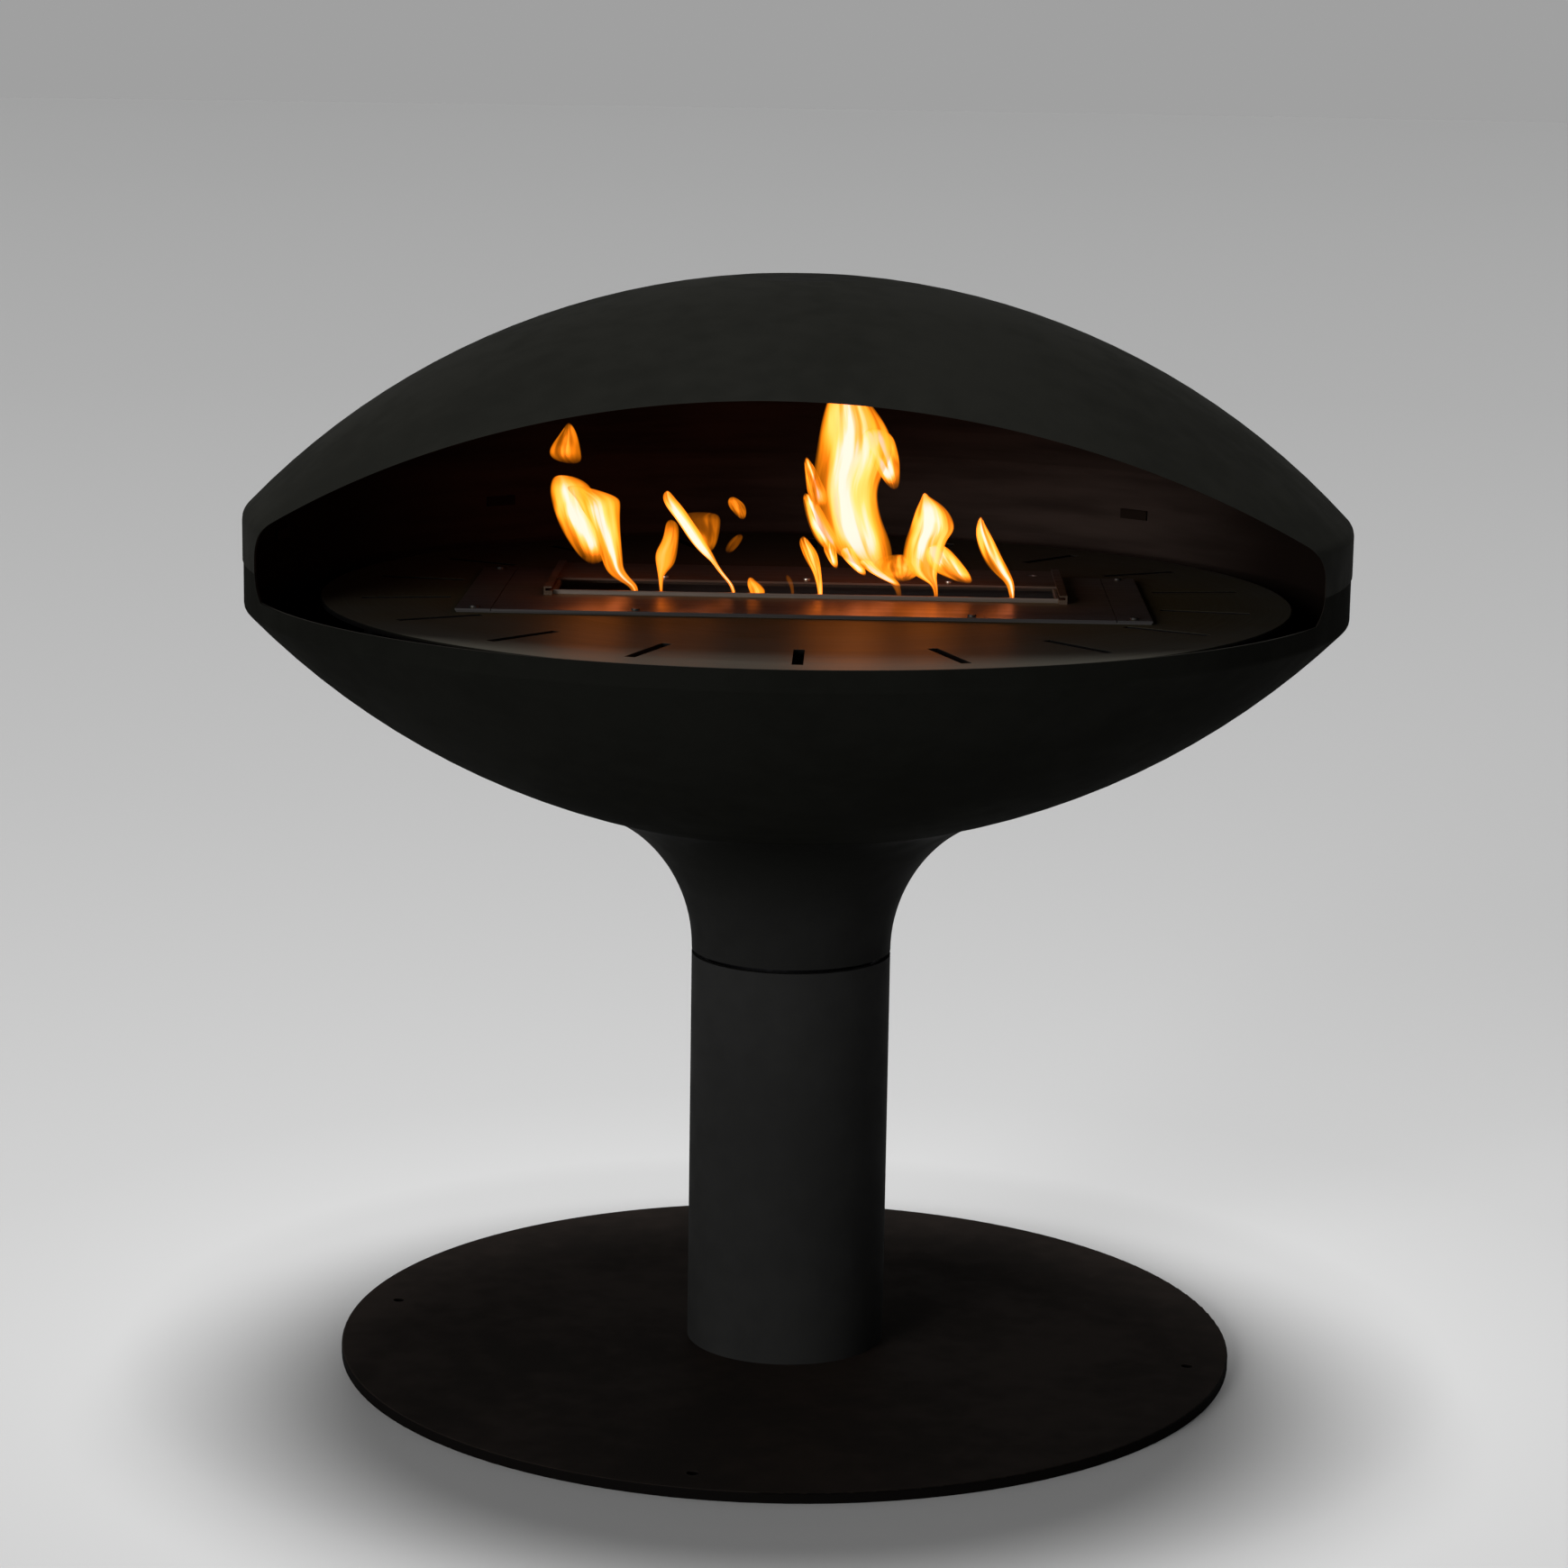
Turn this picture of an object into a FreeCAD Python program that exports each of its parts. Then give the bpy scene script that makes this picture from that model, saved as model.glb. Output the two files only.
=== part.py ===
"""Pedestal fireplace with a swivelling head and a slot burner.

Lengths are millimetres and angles are degrees. The origin is the centre of the
base plate's underside, +Z is up and the mouth of the head faces -Y.
"""

import FreeCAD
import Part
import Sketcher
import math
import os
import re

Vector = FreeCAD.Vector

# Driving sizes: name, value, meaning
SIZES = [
    ("base_dia", 875.0, "base plate diameter"),
    ("base_thick", 10.0, "base plate thickness"),
    ("base_edge", 2.0, "rounding of the base plate's upper edge"),
    ("floor_hole_dia", 11.0, "floor-fixing hole diameter"),
    ("floor_hole_rim", 37.5, "floor-fixing holes from the base plate's rim"),
    ("floor_hole_count", 4, "number of floor-fixing holes"),
    ("floor_hole_turn", -8.9, "turn of the first floor-fixing hole from +X"),
    ("column_dia", 193.7, "column tube outside diameter"),
    ("column_wall", 5.0, "column tube wall"),
    ("column_high", 389.0, "column tube length above the base plate"),
    ("weld_gap", 0.1, "gap between a welded disc and the tube round it"),
    ("foot_thick", 12.0, "foot flange thickness"),
    ("foot_bore", 110.0, "foot flange bore"),
    ("foot_bolt_dia", 10.0, "foot bolt shank diameter"),
    ("foot_bolt_head", 19.0, "foot bolt countersunk head diameter"),
    ("foot_bolt_sink", 0.5, "depth of the bolt heads above the floor"),
    ("foot_bolt_circle", 148.0, "circle of the foot bolts"),
    ("foot_bolt_count", 6, "number of foot bolts"),
    ("bolt_clear", 0.25, "radial clearance of a bolt in its hole"),
    ("swivel_gap", 4.0, "open groove between column and neck"),
    ("race_high", 8.0, "height of one bearing race"),
    ("race_gap", 2.0, "gap between the two races"),
    ("race_bore", 100.0, "race bore"),
    ("race_dia", 160.0, "race outside diameter"),
    ("ball_dia", 10.0, "bearing ball diameter"),
    ("ball_circle", 130.0, "pitch circle of the balls"),
    ("ball_count", 18, "number of balls"),
    ("ball_clear", 0.3, "gap round each ball in race and cage"),
    ("cage_thick", 1.0, "ball cage thickness"),
    ("cage_wide", 20.0, "ball cage ring width"),
    ("plate_thick", 12.0, "column head plate thickness"),
    ("spindle_dia", 40.0, "swivel spindle diameter"),
    ("spindle_head_dia", 60.0, "spindle head diameter"),
    ("spindle_head_high", 8.0, "spindle head height"),
    ("spindle_over", 4.0, "spindle end above its nut"),
    ("fit_clear", 0.05, "radial clearance of bores on the spindle"),
    ("hub_thick", 12.0, "hub plate thickness"),
    ("bush_wall", 5.0, "hub bush wall"),
    ("bush_flange", 7.0, "hub bush flange width"),
    ("bush_flange_thick", 3.0, "hub bush flange thickness"),
    ("lift_clear", 0.3, "play under the spindle washer"),
    ("washer_dia", 66.0, "spindle washer diameter"),
    ("washer_thick", 3.0, "spindle washer thickness"),
    ("nut_flats", 60.0, "spindle nut width across flats"),
    ("nut_high", 16.0, "spindle nut height"),
    ("core_dia", 101.6, "core tube outside diameter"),
    ("core_wall", 4.0, "core tube wall"),
    ("collar_ring_dia", 176.0, "core collar diameter"),
    ("collar_ring_thick", 10.0, "core collar thickness"),
    ("bowl_plate_dia", 440.0, "bowl plate diameter"),
    ("bowl_plate_thick", 8.0, "bowl plate thickness"),
    ("bowl_bolt_dia", 8.0, "bowl bolt shank diameter"),
    ("bowl_bolt_head", 13.0, "bowl bolt head diameter"),
    ("bowl_bolt_head_high", 5.5, "bowl bolt head height"),
    ("bowl_bolt_circle", 140.0, "circle of the bowl bolts"),
    ("bowl_bolt_count", 6, "number of bowl bolts"),
    ("shell_wall", 3.0, "sheet of bowl and neck"),
    ("neck_high", 143.0, "neck height from the groove to the bowl"),
    ("neck_top_dia", 400.0, "diameter where the neck meets the bowl"),
    ("body_dia", 1050.0, "bowl diameter at the band"),
    ("dish_radius", 725.0, "sphere radius of bowl and hood"),
    ("bowl_band", 43.0, "upright band of the bowl below the seam"),
    ("bowl_corner", 5.0, "rounding between bowl and band"),
    ("hood_step", 1.0, "step of the hood over the bowl at the seam"),
    ("hood_band", 43.0, "upright band of the hood above the seam"),
    ("hood_corner", 14.0, "rounding between band and hood"),
    ("crown_dia", 130.0, "flat crown diameter"),
    ("crown_lap", 14.0, "lap of the crown plate under the hood"),
    ("crown_clear", 0.15, "gap round the crown plate"),
    ("crown_thick", 3.0, "crown plate flange thickness"),
    ("lip_high", 18.5, "height of the mouth's lower edge above the bowl"),
    ("mouth_high", 205.5, "height of the mouth at its centre"),
    ("mouth_side", 38.4, "distance of the mouth's ends inside the bowl radius"),
    ("mouth_arch", 895.0, "radius of the mouth's upper arch"),
    ("mouth_end", 44.0, "radius of the mouth's upper corners"),
    ("mouth_foot_in", 8.9, "run-in of the mouth's lower corners"),
    ("tab_wide", 34.0, "seam tab width"),
    ("tab_high", 10.0, "seam tab height"),
    ("tab_thick", 2.5, "seam tab thickness"),
    ("tab_clear", 0.2, "gap between tab and wall beyond the wall's curve"),
    ("tab_pitch", 40.0, "angle from one seam tab to the next"),
    ("tab_count", 5, "number of seam tabs"),
    ("hearth_drop", 11.5, "depth of the hearth disc below the lip"),
    ("hearth_gap", 59.0, "gap between hearth disc and bowl wall"),
    ("hearth_thick", 4.0, "hearth disc thickness"),
    ("hearth_bevel", 1.5, "bevel round the hearth disc"),
    ("hearth_shift", 9.0, "sideways place of the loose hearth on its ring"),
    ("hearth_turn", 1.7, "turn of the loose hearth on its ring"),
    ("slot_count", 18, "radial slots in the hearth disc"),
    ("slot_wide", 10.0, "radial slot width"),
    ("slot_long", 84.0, "radial slot length"),
    ("slot_rim", 39.0, "distance of the slots from the disc's edge"),
    ("ring_inset", 18.0, "hearth ring inside the disc's edge"),
    ("ring_wide", 24.0, "hearth ring width"),
    ("ring_thick", 4.0, "hearth ring thickness"),
    ("post_dia", 16.0, "hearth post diameter"),
    ("post_count", 6, "number of hearth posts"),
    ("post_clear", 0.1, "gap between a post's foot and the bowl"),
    ("top_clear", 19.0, "gap between the burner top's ends and the slots"),
    ("top_deep", 284.0, "burner top depth"),
    ("top_forward", 14.0, "burner top centre in front of the hearth centre"),
    ("top_thick", 2.0, "burner top sheet"),
    ("end_wide", 33.0, "width of the burner's end covers"),
    ("end_gap", 0.8, "joint between end cover and top plate"),
    ("tank_lap", 20.0, "rim of the tank that rests on the hearth disc"),
    ("rim_inset", 1.0, "tank rim inside the burner top's outline"),
    ("tank_sheet", 1.5, "tank sheet"),
    ("tank_deep", 70.0, "tank depth below the hearth disc's top"),
    ("tank_clear", 1.5, "gap between tank and hearth cut-out"),
    ("wool_high", 40.0, "height of the absorbent filling"),
    ("wool_clear", 2.0, "gap between filling and tank walls"),
    ("collar_side", 82.0, "slot collar from the burner top's ends"),
    ("collar_high", 4.0, "slot collar height"),
    ("collar_wall", 2.0, "slot collar sheet"),
    ("collar_front", 106.0, "slot collar behind the burner top's front edge"),
    ("lid_over", 6.0, "lid length past each end of the collar"),
    ("lid_thick", 2.0, "lid thickness"),
    ("lid_open", 67.0, "slot left open by the lid at rest"),
    ("lid_lap", 6.0, "lap of the closed lid over the collar's front and back"),
    ("lid_clear", 0.3, "running clearance above and below the lid"),
    ("rail_wall", 1.5, "lid rail sheet"),
    ("rail_clear", 0.5, "gap between lid end and rail"),
    ("rail_lip", 6.0, "overhang of the lid rail"),
    ("rail_over", 3.0, "rail length past the lid"),
    ("hook_dia", 10.0, "hook hole diameter"),
    ("hook_inset", 26.0, "hook hole from the lid's end"),
    ("hook_back", 74.0, "hook hole from the lid's front edge"),
    ("rivet_dia", 4.0, "lid rivet shank diameter"),
    ("rivet_head", 8.0, "lid rivet head diameter"),
    ("rivet_rise", 1.2, "lid rivet head height"),
    ("rivet_back", 18.0, "rivet row from the lid's front edge"),
    ("rivet_inset", 108.0, "end rivets from the lid's ends"),
    ("rivet_clear", 0.1, "radial gap of a rivet in its hole"),
    ("bar_deep", 12.0, "lid stiffener depth"),
    ("bar_thick", 2.5, "lid stiffener thickness"),
    ("bar_over", 70.0, "stiffener length past the last rivet"),
    ("bar_clear", 3.0, "gap between stiffener and collar with the lid open"),
    ("screw_dia", 4.0, "burner screw shank diameter"),
    ("screw_head", 8.0, "burner screw head diameter"),
    ("screw_rise", 1.8, "burner screw head height"),
    ("screw_inset", 10.0, "burner screws from the top's long edges"),
    ("screw_in", 166.0, "inner burner screws from the burner top's ends"),
]

RIVET_STEPS = (-1, 0, 1)

# Relations between the sizes, written with size names and earlier relations
RELATIONS = {
    "floor_hole_r": "base_dia / 2 - floor_hole_rim",
    "column_r": "column_dia / 2",
    "column_in_r": "column_r - column_wall",
    "column_top_z": "base_thick + column_high",
    "foot_top_z": "base_thick + foot_thick",
    "neck_z": "column_top_z + swivel_gap",
    "swivel_z": "column_top_z + swivel_gap / 2",
    "lower_race_z": "swivel_z - race_gap / 2 - race_high",
    "upper_race_z": "swivel_z + race_gap / 2",
    "plate_z": "lower_race_z - plate_thick",
    "hub_z": "upper_race_z + race_high",
    "hub_top_z": "hub_z + hub_thick",
    "bush_r": "spindle_dia / 2 + fit_clear + bush_wall",
    "bush_top_z": "hub_top_z + bush_flange_thick",
    "washer_z": "bush_top_z + lift_clear",
    "nut_z": "washer_z + washer_thick",
    "spindle_top_z": "nut_z + nut_high + spindle_over",
    "bore_r": "spindle_dia / 2 + fit_clear",
    "neck_top_r": "neck_top_dia / 2",
    "neck_top_z": "neck_z + neck_high",
    "neck_flare": "neck_top_r - column_r",
    "neck_arc": "(neck_flare^2 + neck_high^2) / (2 * neck_flare)",
    "bowl_r": "body_dia / 2",
    "inner_r": "bowl_r - shell_wall",
    "inner_dish": "dish_radius - shell_wall",
    "inner_share": "inner_dish / dish_radius",
    "neck_rim_drop": "sqrt(dish_radius^2 - neck_top_r^2)",
    "bowl_centre_z": "neck_top_z + neck_rim_drop",
    "bowl_edge_z": "bowl_centre_z - sqrt(dish_radius^2 - bowl_r^2)",
    "bowl_round_z": "bowl_centre_z - sqrt((dish_radius - bowl_corner)^2 - (bowl_r - bowl_corner)^2)",
    "bowl_round_share": "dish_radius / (dish_radius - bowl_corner)",
    "bowl_round_in_share": "inner_dish / (dish_radius - bowl_corner)",
    "seam_z": "bowl_edge_z + bowl_band",
    "hood_r": "bowl_r + hood_step",
    "hood_wall": "shell_wall + hood_step",
    "hood_in_dish": "dish_radius - hood_wall",
    "hood_edge_z": "seam_z + hood_band",
    "hood_centre_z": "hood_edge_z - sqrt(dish_radius^2 - hood_r^2)",
    "hood_round_z": "hood_centre_z + sqrt((dish_radius - hood_corner)^2 - (hood_r - hood_corner)^2)",
    "hood_round_share": "dish_radius / (dish_radius - hood_corner)",
    "hood_round_in_share": "hood_in_dish / (dish_radius - hood_corner)",
    "crown_r": "crown_dia / 2",
    "crown_z": "hood_centre_z + sqrt(dish_radius^2 - crown_r^2)",
    "crown_in_z": "hood_centre_z + sqrt(hood_in_dish^2 - crown_r^2)",
    "lip_z": "bowl_edge_z + lip_high",
    "mouth_r": "bowl_r - mouth_side",
    "arch_z": "lip_z + mouth_high - mouth_arch",
    "arch_end_x": "mouth_r - mouth_end",
    "arch_end_z": "arch_z + sqrt((mouth_arch - mouth_end)^2 - arch_end_x^2)",
    "arch_share": "mouth_arch / (mouth_arch - mouth_end)",
    "foot_rise": "seam_z - lip_z",
    "mouth_foot": "(foot_rise^2 + mouth_foot_in^2) / (2 * mouth_foot_in)",
    "tab_face": "sqrt(inner_r^2 - (tab_wide / 2)^2) - tab_clear",
    "hearth_z": "lip_z - hearth_drop",
    "hearth_r": "inner_r - hearth_gap",
    "hearth_under_z": "hearth_z - hearth_thick",
    "slot_out_r": "hearth_r - slot_rim",
    "slot_in_r": "slot_out_r - slot_long",
    "top_long": "2 * (slot_in_r - top_clear)",
    "ring_out_r": "hearth_r - ring_inset",
    "ring_in_r": "ring_out_r - ring_wide",
    "ring_mid_r": "ring_out_r - ring_wide / 2",
    "ring_z": "hearth_under_z - ring_thick",
    "bowl_plate_r": "bowl_plate_dia / 2",
    "bowl_plate_z": "bowl_centre_z - sqrt(inner_dish^2 - bowl_plate_r^2)",
    "top_front_y": "-top_forward - top_deep / 2",
    "top_back_y": "-top_forward + top_deep / 2",
    "tank_half_x": "top_long / 2 - tank_lap",
    "tank_front_y": "top_front_y + tank_lap",
    "tank_back_y": "top_back_y - tank_lap",
    "tank_z": "hearth_z - tank_deep",
    "rim_z": "hearth_z + tank_sheet",
    "top_z": "rim_z + top_thick",
    "collar_long": "top_long - 2 * collar_side",
    "collar_front_y": "top_front_y + collar_front",
    "collar_deep": "lid_open + rivet_back + bar_deep / 2 + bar_clear + collar_wall",
    "collar_back_y": "collar_front_y + collar_deep",
    "collar_top_z": "top_z + collar_high",
    "lid_long": "collar_long + 2 * lid_over",
    "lid_z": "collar_top_z + lid_clear",
    "lid_top_z": "lid_z + lid_thick",
    "lid_deep": "collar_deep + 2 * lid_lap",
    "lid_front_y": "collar_front_y + lid_open",
    "lid_back_y": "lid_front_y + lid_deep",
    "lid_travel": "lid_open + lid_lap",
    "rivet_y": "lid_front_y + rivet_back",
    "rivet_pitch": "lid_long / 2 - rivet_inset",
    "rail_x": "lid_long / 2 + rail_clear",
    "rail_front_y": "lid_front_y - lid_travel - rail_over",
    "rail_back_y": "lid_back_y + rail_over",
    "screw_end_x": "top_long / 2 - end_wide / 2",
    "screw_mid": "top_long / 2 - screw_in",
    "screw_front_y": "top_front_y + screw_inset",
    "screw_back_y": "top_back_y - screw_inset",
}

SIZE_NAMES = {name for name, value, meaning in SIZES}

doc = FreeCAD.newDocument("PedestalFireplace")
sheet = doc.addObject("Spreadsheet::Sheet", "Sizes")
for row, (size_name, size_value, size_meaning) in enumerate(SIZES, start=1):
    sheet.set(f"A{row}", size_meaning)
    sheet.set(f"B{row}", str(size_value))
    sheet.setAlias(f"B{row}", size_name)
doc.recompute()

# Sub-parts in the order they are made
parts = []


def bound(text):
    """Return an expression on the sheet for a text written with plain names."""

    def swap(match):
        word = match.group(0)
        if word in RELATIONS:
            return "(" + bound(RELATIONS[word]) + ")"
        if word in SIZE_NAMES:
            return "Sizes." + word
        return word

    return re.sub(r"[A-Za-z_][A-Za-z_0-9]*", swap, text)


def value(text):
    """Return the present value of an expression written with plain names."""
    return float(sheet.evalExpression(bound(text)))


def new_body(label):
    """Start one sub-part as a body and list it for writing."""
    body = doc.addObject("PartDesign::Body", label)
    body.Label = label
    parts.append(body)
    return body


def keep(item, label):
    """Name a boolean or primitive as a finished sub-part."""
    item.Label = label
    parts.append(item)
    return item


def origin_item(body, role):
    """Return one plane or axis of a body's own origin."""
    return next(item for item in body.Origin.OriginFeatures if item.Role == role)


def new_sketch(body, role="XY_Plane", shift_x=None, rise=None):
    """Attach a sketch to a body plane, moved along or off it by named sizes."""
    sketch = body.newObject("Sketcher::SketchObject", body.Label + "_sketch")
    sketch.AttachmentSupport = [(origin_item(body, role), "")]
    sketch.MapMode = "FlatFace"
    if shift_x is not None:
        sketch.setExpression("AttachmentOffset.Base.x", bound(shift_x))
    if rise is not None:
        sketch.setExpression("AttachmentOffset.Base.z", bound(rise))
    return sketch


def tie(sketch, kind, places, text):
    """Add one sketch dimension whose value comes from the sheet."""
    index = sketch.addConstraint(Sketcher.Constraint(kind, *places, value(text)))
    sketch.setExpression(f"Constraints[{index}]", bound(text))


def arc_middle(start, end, radius, side):
    """Return the middle of an arc that bulges to the left (1) or right (-1)."""
    chord = end - start
    half = chord.Length / 2
    bulge = radius - math.sqrt(radius * radius - half * half)
    left = Vector(-chord.y, chord.x, 0).normalize()
    return (start + end) * 0.5 + left * (bulge * side)


def outline(sketch, corners, arcs=None):
    """Draw a closed outline whose corners and radii follow the sheet.

    corners are pairs of texts; arcs maps the number of an edge to its radius
    text and to the side it bulges to as the outline is walked, 1 for left.
    """
    arcs = arcs or {}
    points = [Vector(value(x), value(y), 0) for x, y in corners]
    ends = []
    for number, start in enumerate(points):
        end = points[(number + 1) % len(points)]
        if number not in arcs:
            ends.append((sketch.addGeometry(Part.LineSegment(start, end)), 1, 2))
            continue
        radius, side = arcs[number]
        middle = arc_middle(start, end, value(radius), side)
        if side > 0:
            ends.append((sketch.addGeometry(Part.Arc(end, middle, start)), 2, 1))
        else:
            ends.append((sketch.addGeometry(Part.Arc(start, middle, end)), 1, 2))
    for number, (x, y) in enumerate(corners):
        edge, first, last = ends[number]
        before, before_first, before_last = ends[number - 1]
        sketch.addConstraint(Sketcher.Constraint("Coincident", before, before_last, edge, first))
        tie(sketch, "DistanceX", (edge, first), x)
        tie(sketch, "DistanceY", (edge, first), y)
    for number, (radius, side) in arcs.items():
        tie(sketch, "Radius", (ends[number][0],), radius)


def rectangle(sketch, left, front, right, back):
    """Draw a rectangle between two corners given as texts."""
    outline(sketch, [(left, front), (right, front), (right, back), (left, back)])


def circle(sketch, x, y, radius):
    """Draw a circle from texts."""
    shape = Part.Circle(Vector(value(x), value(y), 0), Vector(0, 0, 1), value(radius))
    index = sketch.addGeometry(shape)
    tie(sketch, "DistanceX", (index, 3), x)
    tie(sketch, "DistanceY", (index, 3), y)
    tie(sketch, "Radius", (index,), radius)


def turned(body, corners, arcs=None, shift_x=None):
    """Add a solid of revolution about the body's upright axis, or one beside it."""
    sketch = new_sketch(body, "XZ_Plane", shift_x=shift_x)
    outline(sketch, corners, arcs)
    feature = body.newObject("PartDesign::Revolution", body.Label + "_turned")
    feature.Profile = sketch
    feature.ReferenceAxis = (sketch, ["V_Axis"])
    feature.Angle = 360
    doc.recompute()
    return feature


def padded(body, sketch, length, backwards=False):
    """Add an extrusion of a sketch."""
    feature = body.newObject("PartDesign::Pad", body.Label + "_pad")
    feature.Profile = sketch
    feature.setExpression("Length", bound(length))
    feature.Reversed = backwards
    doc.recompute()
    return feature


def cut_through(body, sketch, backwards=False):
    """Cut a sketch all the way through a body, to one side of its plane."""
    before = body.Shape.Volume
    feature = body.newObject("PartDesign::Pocket", body.Label + "_cut")
    feature.Profile = sketch
    feature.Type = 1
    feature.Reversed = backwards
    doc.recompute()
    if feature.Shape.Volume > before - 1e-3:
        raise ValueError(f"a cut of {body.Label} removes nothing")
    return feature


def repeated(body, features, count, span="360"):
    """Repeat features round the body's upright axis."""
    pattern = body.newObject("PartDesign::PolarPattern", body.Label + "_round")
    pattern.Originals = features
    pattern.Axis = (origin_item(body, "Z_Axis"), [""])
    pattern.setExpression("Angle", bound(span))
    pattern.setExpression("Occurrences", bound(count))
    body.Tip = pattern
    doc.recompute()
    return pattern


def turn_body(body, angle):
    """Turn a finished body about the upright axis."""
    spin = FreeCAD.Rotation(Vector(0, 0, 1), value(angle))
    body.Placement = FreeCAD.Placement(Vector(0, 0, 0), spin)
    body.setExpression("Placement.Rotation.Angle", bound(angle))


def on_hearth(body):
    """Move a hearth piece to its place on the hearth ring."""
    turn_body(body, "hearth_turn")
    body.setExpression("Placement.Base.x", bound("hearth_shift"))


def disc_ring(label, inner, outer, low, high):
    """Make a plain ring between two radii and two heights."""
    body = new_body(label)
    turned(body, [(inner, low), (outer, low), (outer, high), (inner, high)])
    return body


# Stand: base plate and column

def make_base_plate():
    """Make the base plate with floor holes and countersunk foot bolt holes."""
    body = new_body("base_plate")
    flat_r = "base_dia / 2 - base_edge"
    turned(
        body,
        [
            ("0", "0"),
            ("base_dia / 2", "0"),
            ("base_dia / 2", "base_thick - base_edge"),
            (flat_r, "base_thick"),
            ("0", "base_thick"),
        ],
        {2: ("base_edge", -1)},
    )
    holes = new_sketch(body)
    x = "floor_hole_r * cos(floor_hole_turn)"
    y = "floor_hole_r * sin(floor_hole_turn)"
    circle(holes, x, y, "floor_hole_dia / 2")
    floor_hole = cut_through(body, holes, backwards=True)
    repeated(body, [floor_hole], "floor_hole_count")
    sink = new_sketch(body, "XZ_Plane", shift_x="foot_bolt_circle / 2")
    hole_r = "foot_bolt_dia / 2 + bolt_clear"
    head_r = "foot_bolt_head / 2 + bolt_clear"
    head_low = "foot_bolt_sink"
    outline(
        sink,
        [
            ("0", "0"),
            (head_r, "0"),
            (head_r, head_low),
            (hole_r, f"{head_low} + ({head_r}) - ({hole_r})"),
            (hole_r, "base_thick"),
            ("0", "base_thick"),
        ],
    )
    groove = body.newObject("PartDesign::Groove", "base_plate_sink")
    groove.Profile = sink
    groove.ReferenceAxis = (sink, ["V_Axis"])
    groove.Angle = 360
    doc.recompute()
    repeated(body, [groove], "foot_bolt_count")


def make_foot():
    """Make the column's foot flange and the bolts that hold it down."""
    body = disc_ring("foot_flange", "foot_bore / 2", "column_in_r - weld_gap", "base_thick", "foot_top_z")
    holes = new_sketch(body)
    circle(holes, "foot_bolt_circle / 2", "0", "foot_bolt_dia / 2 + bolt_clear")
    hole = cut_through(body, holes, backwards=True)
    repeated(body, [hole], "foot_bolt_count")

    bolts = new_body("foot_bolts")
    bolt = turned(
        bolts,
        [
            ("0", "foot_bolt_sink"),
            ("foot_bolt_head / 2", "foot_bolt_sink"),
            ("foot_bolt_dia / 2", "foot_bolt_sink + (foot_bolt_head - foot_bolt_dia) / 2"),
            ("foot_bolt_dia / 2", "foot_top_z"),
            ("0", "foot_top_z"),
        ],
        shift_x="foot_bolt_circle / 2",
    )
    repeated(bolts, [bolt], "foot_bolt_count")


def make_column():
    """Make the column tube and the head plate welded in its upper end."""
    disc_ring("column_tube", "column_in_r", "column_r", "base_thick", "column_top_z")
    disc_ring("column_head", "bore_r", "column_in_r - weld_gap", "plate_z", "lower_race_z")


# Swivel: spindle, thrust bearing and hub

def make_race(label, low, high, groove_up):
    """Make one bearing race with a round groove for the balls."""
    body = new_body(label)
    groove_r = "ball_dia / 2 + ball_clear"
    half = f"sqrt(({groove_r})^2 - (race_gap / 2)^2)"
    near, far = f"ball_circle / 2 - {half}", f"ball_circle / 2 + {half}"
    inner, outer = "race_bore / 2", "race_dia / 2"
    if groove_up:
        corners = [(inner, low), (outer, low), (outer, high), (far, high), (near, high), (inner, high)]
        turned(body, corners, {3: (groove_r, 1)})
    else:
        corners = [(inner, low), (near, low), (far, low), (outer, low), (outer, high), (inner, high)]
        turned(body, corners, {1: (groove_r, 1)})


def make_bearing():
    """Make the two races, the balls and the cage that spaces them."""
    make_race("lower_race", "lower_race_z", "lower_race_z + race_high", True)
    make_race("upper_race", "upper_race_z", "upper_race_z + race_high", False)

    cage = disc_ring(
        "ball_cage",
        "ball_circle / 2 - cage_wide / 2",
        "ball_circle / 2 + cage_wide / 2",
        "swivel_z - cage_thick / 2",
        "swivel_z + cage_thick / 2",
    )
    holes = new_sketch(cage)
    circle(holes, "ball_circle / 2", "0", "ball_dia / 2 + ball_clear")
    hole = cut_through(cage, holes, backwards=True)
    repeated(cage, [hole], "ball_count")

    balls = new_body("bearing_balls")
    ball = turned(
        balls,
        [("0", "swivel_z - ball_dia / 2"), ("ball_dia / 2", "swivel_z"), ("0", "swivel_z + ball_dia / 2")],
        {0: ("ball_dia / 2", -1), 1: ("ball_dia / 2", -1)},
        shift_x="ball_circle / 2",
    )
    repeated(balls, [ball], "ball_count")


def make_spindle():
    """Make the spindle with its washer and nut."""
    spindle = new_body("swivel_spindle")
    turned(
        spindle,
        [
            ("0", "plate_z - spindle_head_high"),
            ("spindle_head_dia / 2", "plate_z - spindle_head_high"),
            ("spindle_head_dia / 2", "plate_z"),
            ("spindle_dia / 2", "plate_z"),
            ("spindle_dia / 2", "spindle_top_z"),
            ("0", "spindle_top_z"),
        ],
    )
    disc_ring("spindle_washer", "bore_r", "washer_dia / 2", "washer_z", "nut_z")
    nut = new_body("spindle_nut")
    flats = new_sketch(nut, rise="nut_z")
    corner = "nut_flats / 2 / cos(30)"
    outline(flats, [(f"{corner} * cos({60 * k})", f"{corner} * sin({60 * k})") for k in range(6)])
    circle(flats, "0", "0", "bore_r")
    padded(nut, flats, "nut_high")


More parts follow.
